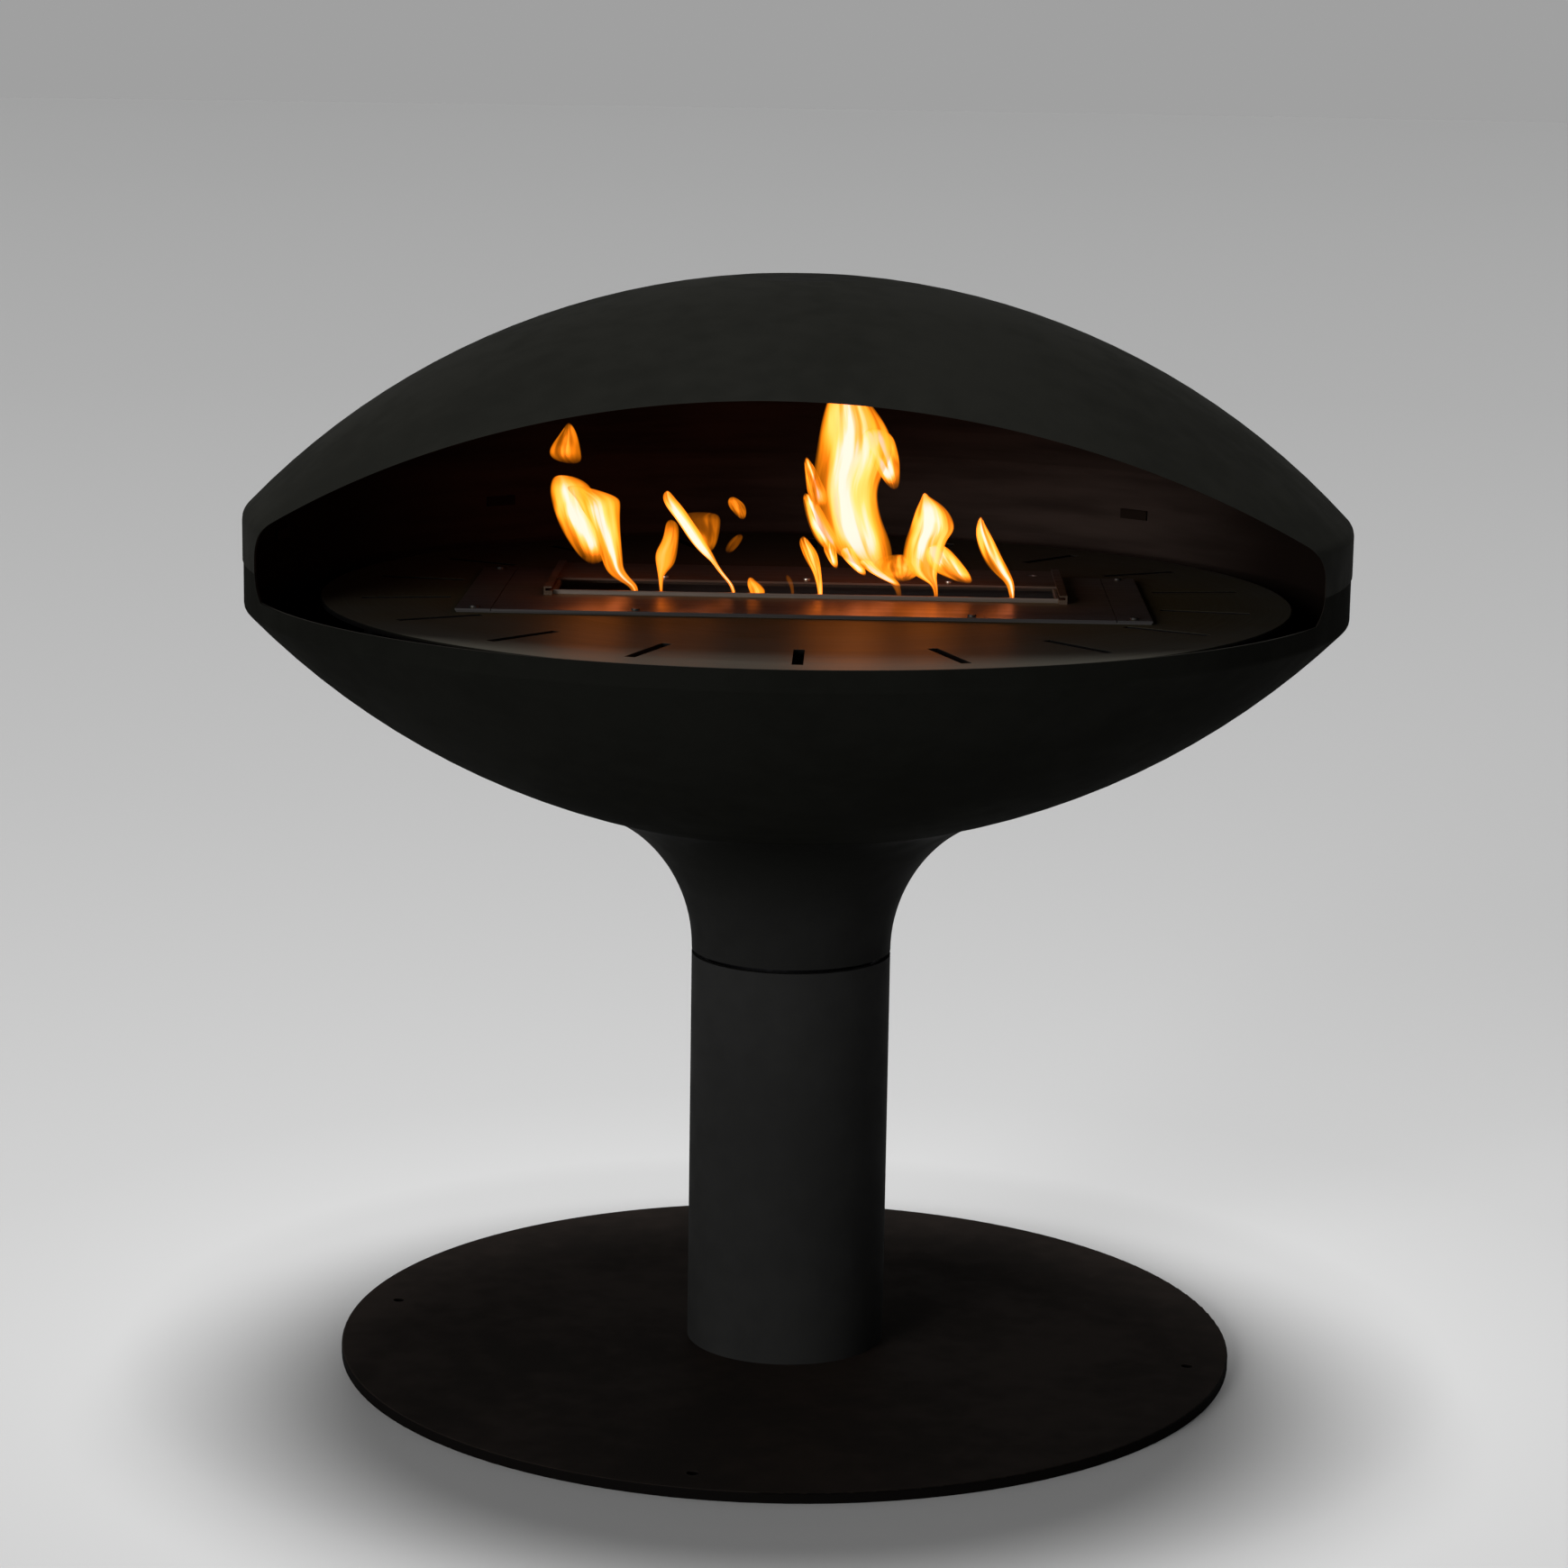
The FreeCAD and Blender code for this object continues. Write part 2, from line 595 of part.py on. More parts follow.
def make_hub():
    """Make the hub plate in the neck and its flanged bush."""
    disc_ring("hub_plate", "bush_r", "column_r - shell_wall - weld_gap", "hub_z", "hub_top_z")
    bush = new_body("hub_bush")
    turned(
        bush,
        [
            ("bore_r", "hub_z"),
            ("bush_r", "hub_z"),
            ("bush_r", "hub_top_z"),
            ("bush_r + bush_flange", "hub_top_z"),
            ("bush_r + bush_flange", "bush_top_z"),
            ("bore_r", "bush_top_z"),
        ],
    )


# Neck: core tube, collar, bowl plate and the flared skin

def make_core():
    """Make the core tube, its collar, the bowl plate and the bolts between them."""
    disc_ring("core_tube", "core_dia / 2 - core_wall", "core_dia / 2", "hub_top_z", "bowl_plate_z")
    collar = disc_ring(
        "core_collar",
        "core_dia / 2 + weld_gap",
        "collar_ring_dia / 2",
        "bowl_plate_z - collar_ring_thick",
        "bowl_plate_z",
    )
    plate = new_body("bowl_plate")
    plate_top = "bowl_plate_z + bowl_plate_thick"
    turned(
        plate,
        [
            ("0", "bowl_plate_z"),
            ("bowl_plate_r - weld_gap", "bowl_plate_z"),
            ("bowl_plate_r", plate_top),
            ("0", plate_top),
        ],
    )
    for body in (collar, plate):
        holes = new_sketch(body)
        circle(holes, "bowl_bolt_circle / 2", "0", "bowl_bolt_dia / 2 + bolt_clear")
        hole = cut_through(body, holes, backwards=True)
        repeated(body, [hole], "bowl_bolt_count")

    bolts = new_body("bowl_bolts")
    bolt = turned(
        bolts,
        [
            ("0", "bowl_plate_z - collar_ring_thick"),
            ("bowl_bolt_dia / 2", "bowl_plate_z - collar_ring_thick"),
            ("bowl_bolt_dia / 2", plate_top),
            ("bowl_bolt_head / 2", plate_top),
            ("bowl_bolt_head / 2", f"{plate_top} + bowl_bolt_head_high"),
            ("0", f"{plate_top} + bowl_bolt_head_high"),
        ],
        shift_x="bowl_bolt_circle / 2",
    )
    repeated(bolts, [bolt], "bowl_bolt_count")


def make_neck():
    """Make the neck skin, flared from the column's width to the bowl's underside."""
    body = new_body("neck_skin")
    inner_x = "neck_top_r * inner_share"
    inner_z = "bowl_centre_z - neck_rim_drop * inner_share"
    turned(
        body,
        [
            ("column_r - shell_wall", "neck_z"),
            ("column_r", "neck_z"),
            ("neck_top_r", "neck_top_z"),
            (inner_x, inner_z),
        ],
        {1: ("neck_arc", 1), 3: ("neck_arc + shell_wall", -1)},
    )


# Head: bowl, hood and what joins them

def mouth_lower(body):
    """Cut the mouth's lip and lower corners, up past the seam."""
    sketch = new_sketch(body, "XZ_Plane")
    foot_x = "mouth_r - mouth_foot_in"
    outline(
        sketch,
        [
            (f"-({foot_x})", "lip_z"),
            (foot_x, "lip_z"),
            ("mouth_r", "seam_z"),
            ("mouth_r", "hood_edge_z"),
            ("-mouth_r", "hood_edge_z"),
            ("-mouth_r", "seam_z"),
        ],
        {1: ("mouth_foot", -1), 5: ("mouth_foot", -1)},
    )
    cut_through(body, sketch, backwards=True)


def mouth_upper(body):
    """Cut the mouth's straight ends, upper corners and arch, from below the seam."""
    sketch = new_sketch(body, "XZ_Plane")
    arch_x = "arch_end_x * arch_share"
    arch_top = "arch_z + (arch_end_z - arch_z) * arch_share"
    outline(
        sketch,
        [
            ("-mouth_r", "lip_z"),
            ("mouth_r", "lip_z"),
            ("mouth_r", "arch_end_z"),
            (arch_x, arch_top),
            (f"-({arch_x})", arch_top),
            ("-mouth_r", "arch_end_z"),
        ],
        {2: ("mouth_end", -1), 3: ("mouth_arch", -1), 4: ("mouth_end", -1)},
    )
    cut_through(body, sketch, backwards=True)


def make_bowl():
    """Make the bowl shell from the neck to the seam."""
    body = new_body("bowl_shell")
    round_x = "(bowl_r - bowl_corner) * {share}"
    round_z = "bowl_centre_z - (bowl_centre_z - bowl_round_z) * {share}"
    out_x, out_z = (text.format(share="bowl_round_share") for text in (round_x, round_z))
    in_x, in_z = (text.format(share="bowl_round_in_share") for text in (round_x, round_z))
    turned(
        body,
        [
            ("neck_top_r", "neck_top_z"),
            (out_x, out_z),
            ("bowl_r", "bowl_round_z"),
            ("bowl_r", "seam_z"),
            ("inner_r", "seam_z"),
            ("inner_r", "bowl_round_z"),
            (in_x, in_z),
            ("neck_top_r * inner_share", "bowl_centre_z - neck_rim_drop * inner_share"),
        ],
        {
            0: ("dish_radius", -1),
            1: ("bowl_corner", -1),
            5: ("bowl_corner - shell_wall", 1),
            6: ("inner_dish", 1),
        },
    )
    mouth_lower(body)


def make_hood():
    """Make the hood shell above the seam and the crown plate in its top."""
    body = new_body("hood_shell")
    round_x = "(hood_r - hood_corner) * {share}"
    round_z = "hood_centre_z + (hood_round_z - hood_centre_z) * {share}"
    out_x, out_z = (text.format(share="hood_round_share") for text in (round_x, round_z))
    in_x, in_z = (text.format(share="hood_round_in_share") for text in (round_x, round_z))
    turned(
        body,
        [
            ("inner_r", "seam_z"),
            ("hood_r", "seam_z"),
            ("hood_r", "hood_round_z"),
            (out_x, out_z),
            ("crown_r", "crown_z"),
            ("crown_r", "crown_in_z"),
            (in_x, in_z),
            ("inner_r", "hood_round_z"),
        ],
        {
            2: ("hood_corner", -1),
            3: ("dish_radius", -1),
            5: ("hood_in_dish", 1),
            6: ("hood_corner - hood_wall", 1),
        },
    )
    mouth_upper(body)

    crown = new_body("crown_plate")
    plug_r = "crown_r - crown_clear"
    lap_r = "crown_r + crown_lap"
    flange_dish = "(hood_in_dish - crown_clear)"
    lap_z = f"hood_centre_z + sqrt({flange_dish}^2 - ({lap_r})^2)"
    plug_z = f"hood_centre_z + sqrt({flange_dish}^2 - ({plug_r})^2)"
    under_z = f"{lap_z} - crown_thick"
    turned(
        crown,
        [
            ("0", under_z),
            (lap_r, under_z),
            (lap_r, lap_z),
            (plug_r, plug_z),
            (plug_r, "crown_z"),
            ("0", "crown_z"),
        ],
        {2: (flange_dish, -1)},
    )


def make_seam():
    """Make the tabs welded across the seam inside the back of the head."""
    first = "-tab_pitch * (tab_count - 1) / 2"
    for number in range(int(value("tab_count"))):
        tab = new_body(f"seam_tab_{number + 1}")
        face = new_sketch(tab, "XZ_Plane", rise="-tab_face")
        rectangle(face, "-tab_wide / 2", "seam_z - tab_high / 2", "tab_wide / 2", "seam_z + tab_high / 2")
        padded(tab, face, "tab_thick")
        turn_body(tab, f"{first} + tab_pitch * {number}")


# Hearth: posts, ring and slotted disc

def make_hearth():
    """Make the hearth ring on its posts and the slotted disc that lies on it."""
    for number in range(int(value("post_count"))):
        angle = f"(360 / post_count * ({number} + 0.5))"
        rod = doc.addObject("Part::Cylinder", f"post_rod_{number + 1}")
        rod.setExpression("Radius", bound("post_dia / 2"))
        rod.setExpression("Height", bound("ring_z - bowl_plate_z"))
        rod.setExpression("Placement.Base.x", bound(f"ring_mid_r * cos({angle})"))
        rod.setExpression("Placement.Base.y", bound(f"ring_mid_r * sin({angle})"))
        rod.setExpression("Placement.Base.z", bound("bowl_plate_z"))
        hollow = doc.addObject("Part::Sphere", f"post_hollow_{number + 1}")
        hollow.setExpression("Radius", bound("inner_dish - post_clear"))
        hollow.setExpression("Placement.Base.z", bound("bowl_centre_z"))
        post = doc.addObject("Part::Common", f"post_{number + 1}")
        post.Base = rod
        post.Tool = hollow
        keep(post, f"hearth_post_{number + 1}")
    disc_ring("hearth_ring", "ring_in_r", "ring_out_r", "ring_z", "hearth_under_z")

    disc = new_body("hearth_disc")
    turned(
        disc,
        [
            ("0", "hearth_under_z"),
            ("hearth_r", "hearth_under_z"),
            ("hearth_r", "hearth_z - hearth_bevel"),
            ("hearth_r - hearth_bevel", "hearth_z"),
            ("0", "hearth_z"),
        ],
    )
    hatch = new_sketch(disc)
    rectangle(
        hatch,
        "-(tank_half_x + tank_clear)",
        "tank_front_y - tank_clear",
        "tank_half_x + tank_clear",
        "tank_back_y + tank_clear",
    )
    cut_through(disc, hatch, backwards=True)
    slot = new_sketch(disc)
    rectangle(slot, "-slot_wide / 2", "-slot_out_r", "slot_wide / 2", "-slot_out_r + slot_long")
    first_slot = cut_through(disc, slot, backwards=True)
    repeated(disc, [first_slot], "slot_count")
    on_hearth(disc)


# Burner: tank, top, slot collar, filling, rails and screws

def screw_places(columns):
    """Return the burner screw places for some distances from the middle."""
    return [(x, y) for x in columns for y in ("screw_front_y", "screw_back_y")]


def screw_holes(body, columns):
    """Drill a burner piece for its screws."""
    holes = new_sketch(body, rise="hearth_z")
    for x, y in screw_places(columns):
        circle(holes, x, y, "screw_dia / 2 + bolt_clear")
    cut_through(body, holes, backwards=True)


END_SCREWS = ("-screw_end_x", "screw_end_x")
MID_SCREWS = ("-screw_mid", "screw_mid")


def make_tank():
    """Make the open tank that hangs in the hearth disc, and its filling."""
    tank = new_body("burner_tank")
    walls = new_sketch(tank, rise="tank_z")
    rectangle(walls, "-tank_half_x", "tank_front_y", "tank_half_x", "tank_back_y")
    padded(tank, walls, "rim_z - tank_z")
    rim = new_sketch(tank, rise="hearth_z")
    edge_x = "top_long / 2 - rim_inset"
    rectangle(rim, f"-({edge_x})", "top_front_y + rim_inset", edge_x, "top_back_y - rim_inset")
    padded(tank, rim, "tank_sheet")
    hollow = new_sketch(tank, rise="tank_z + tank_sheet")
    inner_x = "tank_half_x - tank_sheet"
    rectangle(hollow, f"-({inner_x})", "tank_front_y + tank_sheet", inner_x, "tank_back_y - tank_sheet")
    cut_through(tank, hollow, backwards=True)
    screw_holes(tank, END_SCREWS + MID_SCREWS)
    on_hearth(tank)

    wool = new_body("wool_filling")
    block = new_sketch(wool, rise="tank_z + tank_sheet + lid_clear")
    side = "tank_sheet + wool_clear"
    rectangle(
        block,
        f"-(tank_half_x - ({side}))",
        f"tank_front_y + {side}",
        f"tank_half_x - ({side})",
        f"tank_back_y - ({side})",
    )
    padded(wool, block, "wool_high")
    on_hearth(wool)


def make_burner_top():
    """Make the top plate with the slot, the two end covers and the screws."""
    top = new_body("burner_top")
    sheet_plan = new_sketch(top, rise="rim_z")
    joint_x = "top_long / 2 - end_wide - end_gap / 2"
    rectangle(sheet_plan, f"-({joint_x})", "top_front_y", joint_x, "top_back_y")
    slot_x = "collar_long / 2 - collar_wall"
    rectangle(
        sheet_plan,
        f"-({slot_x})",
        "collar_front_y + collar_wall",
        slot_x,
        "collar_back_y - collar_wall",
    )
    padded(top, sheet_plan, "top_thick")
    screw_holes(top, MID_SCREWS)
    on_hearth(top)

    cover_x = "top_long / 2 - end_wide + end_gap / 2"
    for label, sign in (("burner_end_left", "-"), ("burner_end_right", "")):
        cover = new_body(label)
        plan = new_sketch(cover, rise="rim_z")
        near, far = f"{sign}({cover_x})", f"{sign}(top_long / 2)"
        low, high = (far, near) if sign else (near, far)
        rectangle(plan, low, "top_front_y", high, "top_back_y")
        padded(cover, plan, "top_thick")
        screw_holes(cover, (f"{sign}screw_end_x",))
        on_hearth(cover)

    screws = new_body("burner_screws")
    for x, y in screw_places(END_SCREWS + MID_SCREWS):
        shank = new_sketch(screws, rise="hearth_z")
        circle(shank, x, y, "screw_dia / 2")
        padded(screws, shank, "top_z - hearth_z")
        head = new_sketch(screws, rise="top_z")
        circle(head, x, y, "screw_head / 2")
        padded(screws, head, "screw_rise")
    on_hearth(screws)


def make_slot():
    """Make the raised collar round the slot and the rails that guide the lid."""
    collar = new_body("slot_collar")
    plan = new_sketch(collar, rise="top_z")
    half = "collar_long / 2"
    rectangle(plan, f"-{half}", "collar_front_y", half, "collar_back_y")
    inner = f"{half} - collar_wall"
    rectangle(plan, f"-({inner})", "collar_front_y + collar_wall", inner, "collar_back_y - collar_wall")
    padded(collar, plan, "collar_high")
    on_hearth(collar)

    lip_low = "lid_top_z + lid_clear"
    lip_high = f"{lip_low} + rail_wall"
    for label, sign in (("lid_rail_left", "-"), ("lid_rail_right", "")):
        rail = new_body(label)
        section = new_sketch(rail, "XZ_Plane", rise="-rail_back_y")
        foot_x = f"{sign}({half} + weld_gap)"
        wall_x = f"{sign}rail_x"
        back_x = f"{sign}(rail_x + rail_wall)"
        lip_x = f"{sign}(rail_x - rail_lip)"
        outline(
            section,
            [
                (foot_x, "top_z"),
                (back_x, "top_z"),
                (back_x, lip_high),
                (lip_x, lip_high),
                (lip_x, lip_low),
                (wall_x, lip_low),
                (wall_x, "collar_top_z"),
                (foot_x, "collar_top_z"),
            ],
        )
        padded(rail, section, "rail_back_y - rail_front_y")
        on_hearth(rail)


# Lid: sliding plate, stiffener and rivets

def make_lid():
    """Make the lid plate with its hook hole, the bar below it and their rivets."""
    lid = new_body("lid_plate")
    plan = new_sketch(lid, rise="lid_z")
    rectangle(plan, "-lid_long / 2", "lid_front_y", "lid_long / 2", "lid_back_y")
    circle(plan, "lid_long / 2 - hook_inset", "lid_front_y + hook_back", "hook_dia / 2")
    for step in RIVET_STEPS:
        circle(plan, f"rivet_pitch * {step}", "rivet_y", "rivet_dia / 2 + rivet_clear")
    padded(lid, plan, "lid_thick")
    on_hearth(lid)

    bar = new_body("lid_stiffener")
    strip = new_sketch(bar, rise="lid_z - bar_thick")
    bar_x = f"rivet_pitch * {max(RIVET_STEPS)} + bar_over"
    rectangle(strip, f"-({bar_x})", "rivet_y - bar_deep / 2", bar_x, "rivet_y + bar_deep / 2")
    for step in RIVET_STEPS:
        circle(strip, f"rivet_pitch * {step}", "rivet_y", "rivet_dia / 2 + rivet_clear")
    padded(bar, strip, "bar_thick")
    on_hearth(bar)

    rivets = new_body("lid_rivets")
    for step in RIVET_STEPS:
        shank = new_sketch(rivets, rise="lid_z - bar_thick")
        circle(shank, f"rivet_pitch * {step}", "rivet_y", "rivet_dia / 2")
        padded(rivets, shank, "bar_thick + lid_thick")
        head = new_sketch(rivets, rise="lid_top_z")
        circle(head, f"rivet_pitch * {step}", "rivet_y", "rivet_head / 2")
        padded(rivets, head, "rivet_rise")
    on_hearth(rivets)


def check_model():
    """Stop if any object failed or any sub-part has no valid solid."""
    for item in doc.Objects:
        if "Invalid" in item.State or "Error" in item.State:
            raise RuntimeError(f"{item.Label} failed: {item.State}")
    for item in parts:
        if item.Shape.isNull() or not item.Shape.isValid() or not item.Shape.Solids:
            raise RuntimeError(f"{item.Label} has no valid solid")


def write_parts():
    """Write each sub-part to its own file and print its size."""
    os.makedirs("parts", exist_ok=True)
    for item in parts:
        item.Shape.exportStep(f"parts/{item.Label}.step")
        box = item.Shape.BoundBox
        print(
            f"{item.Label}: {len(item.Shape.Solids)} solid, {item.Shape.Volume:.0f} mm3,",
            f"x {box.XMin:.1f} {box.XMax:.1f},",
            f"y {box.YMin:.1f} {box.YMax:.1f},",
            f"z {box.ZMin:.1f} {box.ZMax:.1f}",
        )


make_base_plate()
make_foot()
make_column()
make_bearing()
make_spindle()
make_hub()
make_core()
make_neck()
make_bowl()
make_hood()
make_seam()
make_hearth()
make_tank()
make_burner_top()
make_slot()
make_lid()
doc.recompute()
check_model()
write_parts()
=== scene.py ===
"""Pedestal fireplace: finishes, filling, flames, floor, light and camera.

Lengths are metres in the model's own frame, where +Z is up and the mouth faces -Y.
The flames' sections are in millimetres.
"""

import logging
import math
from collections.abc import Iterable
from dataclasses import dataclass
from enum import Enum
from typing import Any

import bmesh
import bpy
from mathutils import Matrix, Vector


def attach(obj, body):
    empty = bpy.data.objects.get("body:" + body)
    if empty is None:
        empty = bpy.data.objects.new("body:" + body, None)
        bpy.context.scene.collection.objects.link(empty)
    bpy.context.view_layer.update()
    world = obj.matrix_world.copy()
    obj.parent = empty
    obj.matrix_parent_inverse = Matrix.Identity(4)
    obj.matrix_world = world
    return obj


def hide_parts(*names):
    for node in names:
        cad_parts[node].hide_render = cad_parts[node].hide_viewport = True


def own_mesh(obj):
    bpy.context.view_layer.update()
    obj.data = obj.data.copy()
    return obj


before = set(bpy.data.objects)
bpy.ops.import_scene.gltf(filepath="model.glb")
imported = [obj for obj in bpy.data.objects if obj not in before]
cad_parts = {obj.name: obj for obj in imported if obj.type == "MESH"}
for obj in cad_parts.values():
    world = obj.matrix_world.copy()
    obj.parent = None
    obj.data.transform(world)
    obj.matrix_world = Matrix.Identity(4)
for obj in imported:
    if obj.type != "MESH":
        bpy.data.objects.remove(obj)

LOG = logging.getLogger("fireplace")
Colour = tuple[float, float, float]
Triple = tuple[float, float, float]
Ring = tuple[Vector, float, float]
Node = bpy.types.Node
Piece = bpy.types.Object
Socket = bpy.types.NodeSocket
Tree = bpy.types.NodeTree

MM = 0.001
ORIGIN = (0.0, 0.0, 0.0)
LEVEL = (1.0, 1.0, 0.0)

# Place of the loose hearth on its ring: a small shift to the right and a small turn
HEARTH_SHIFT = (0.009, 0.0, 0.0)
HEARTH_TURN = math.radians(1.7)
HEARTH = Matrix.Translation(HEARTH_SHIFT) @ Matrix.Rotation(HEARTH_TURN, 4, "Z")

# The burner slot in the hearth's own frame
SLOT_Y = -0.016
SLOT_HALF = 0.22


class Grain(Enum):
    """Direction in which a steel surface is brushed, as a stretch of its place."""

    ALONG_X = (3.0, 420.0, 420.0)
    ALONG_Z = (420.0, 420.0, 3.0)
    ROUND = (900.0, 2.0, 60.0)


class Graph:
    """Adds and links the nodes of one material or node group."""

    def __init__(self, tree: Tree) -> None:
        """Keep the tree that the nodes go into.

        Args:
            tree: node tree of a material, world or group.
        """
        self.tree = tree

    def add(self, kind: str, **settings: Any) -> Node:
        """Add a node.

        Args:
            kind: the node's type name.
            settings: properties to set on the node.

        Returns:
            The new node.
        """
        node = self.tree.nodes.new(kind)
        for name, setting in settings.items():
            setattr(node, name, setting)
        return node

    def put(self, socket: Socket, value: Any) -> None:
        """Link a socket or set its constant.

        Args:
            socket: input socket to fill.
            value: an output socket, a number, a vector or a colour.
        """
        if isinstance(value, Socket):
            self.tree.links.new(value, socket)
        elif socket.type == "RGBA":
            socket.default_value = (*value, 1.0)
        else:
            socket.default_value = value

    def feed(self, node: Node, inputs: dict[str, Any]) -> None:
        """Fill several inputs of a node, by their names."""
        for name, value in inputs.items():
            self.put(node.inputs[name], value)

    def maths(self, operation: str, *values: Any, clamp: bool = False) -> Socket:
        """Add a Math node.

        Args:
            operation: name of the operation.
            values: its inputs, sockets or numbers.
            clamp: keep the result between 0 and 1.

        Returns:
            The result socket.
        """
        node = self.add("ShaderNodeMath", operation=operation, use_clamp=clamp)
        for socket, value in zip(node.inputs, values):
            self.put(socket, value)
        return node.outputs[0]

    def weighted(self, *shares: tuple[Any, float]) -> Socket:
        """Add values up, each times its weight.

        Args:
            shares: pairs of a socket and its weight.

        Returns:
            The sum socket.
        """
        first, *others = [self.maths("MULTIPLY", value, weight) for value, weight in shares]
        for other in others:
            first = self.maths("ADD", first, other)
        return first

    def product(self, *values: Any) -> Socket:
        """Multiply values and keep the result between 0 and 1.

        Args:
            values: sockets or numbers, at least two.

        Returns:
            The product socket.
        """
        result, *others = values[:-1]
        for other in others:
            result = self.maths("MULTIPLY", result, other)
        return self.maths("MULTIPLY", result, values[-1], clamp=True)

    def vector(self, operation: str, *values: Any) -> Socket:
        """Add a Vector Math node.

        Args:
            operation: name of the operation.
            values: its inputs, sockets or vectors.

        Returns:
            The vector result, or the number where the operation gives one.
        """
        node = self.add("ShaderNodeVectorMath", operation=operation)
        for socket, value in zip(node.inputs, values):
            self.put(socket, value)
        return node.outputs["Value" if operation in ("LENGTH", "DISTANCE") else "Vector"]

    def noise(self, place: Socket, scale: Any, detail: float) -> Socket:
        """Add a noise texture.

        Args:
            place: vector socket to read.
            scale: size of the pattern, larger is finer.
            detail: number of finer layers.

        Returns:
            The noise value socket.
        """
        node = self.add("ShaderNodeTexNoise")
        self.feed(node, {"Vector": place, "Scale": scale, "Detail": detail})
        return node.outputs["Fac"]

    def span(
        self, value: Any, low: Any, high: Any, start: float = 0.0, end: float = 1.0
    ) -> Socket:
        """Map a value from one range to another, smoothly and within its ends.

        Args:
            value: socket to map.
            low: value that gives start.
            high: value that gives end.
            start: result at low.
            end: result at high.

        Returns:
            The mapped socket.
        """
        node = self.add("ShaderNodeMapRange", interpolation_type="SMOOTHSTEP")
        names = ("Value", "From Min", "From Max", "To Min", "To Max")
        self.feed(node, dict(zip(names, (value, low, high, start, end))))
        return node.outputs[0]

    def blend(self, factor: Any, first: Any, second: Any) -> Socket:
        """Mix two colours.

        Args:
            factor: share of the second colour.
            first: colour or socket at 0.
            second: colour or socket at 1.

        Returns:
            The mixed colour socket.
        """
        node = self.add("ShaderNodeMix", data_type="RGBA")
        self.put(node.inputs["Factor"], factor)
        self.put(node.inputs[6], first)
        self.put(node.inputs[7], second)
        return node.outputs[2]

    def ramp(self, factor: Socket, tones: tuple[tuple[float, Colour], ...]) -> Socket:
        """Colour a value by tones at given spots.

        Args:
            factor: value socket.
            tones: spot and colour, in rising order.

        Returns:
            The colour socket.
        """
        node = self.add("ShaderNodeValToRGB")
        elements = node.color_ramp.elements
        for spot, _ in tones[1:-1]:
            elements.new(spot)
        for element, (spot, tone) in zip(elements, tones):
            element.position = spot
            element.color = (*tone, 1.0)
        self.put(node.inputs["Fac"], factor)
        return node.outputs["Color"]

    def place(self) -> Socket:
        """Return the object coordinates."""
        return self.add("ShaderNodeTexCoord").outputs["Object"]

    def stretched(self, place: Socket, scale: Triple) -> Socket:
        """Return a place scaled differently along its three axes."""
        return self.vector("MULTIPLY", place, scale)

    def parts(self, place: Socket) -> Any:
        """Return the X, Y and Z outputs of a place."""
        node = self.add("ShaderNodeSeparateXYZ")
        self.put(node.inputs[0], place)
        return node.outputs

    def joined(self, x: Any, y: Any, z: Any) -> Socket:
        """Return a vector made of three values."""
        node = self.add("ShaderNodeCombineXYZ")
        self.feed(node, {"X": x, "Y": y, "Z": z})
        return node.outputs[0]


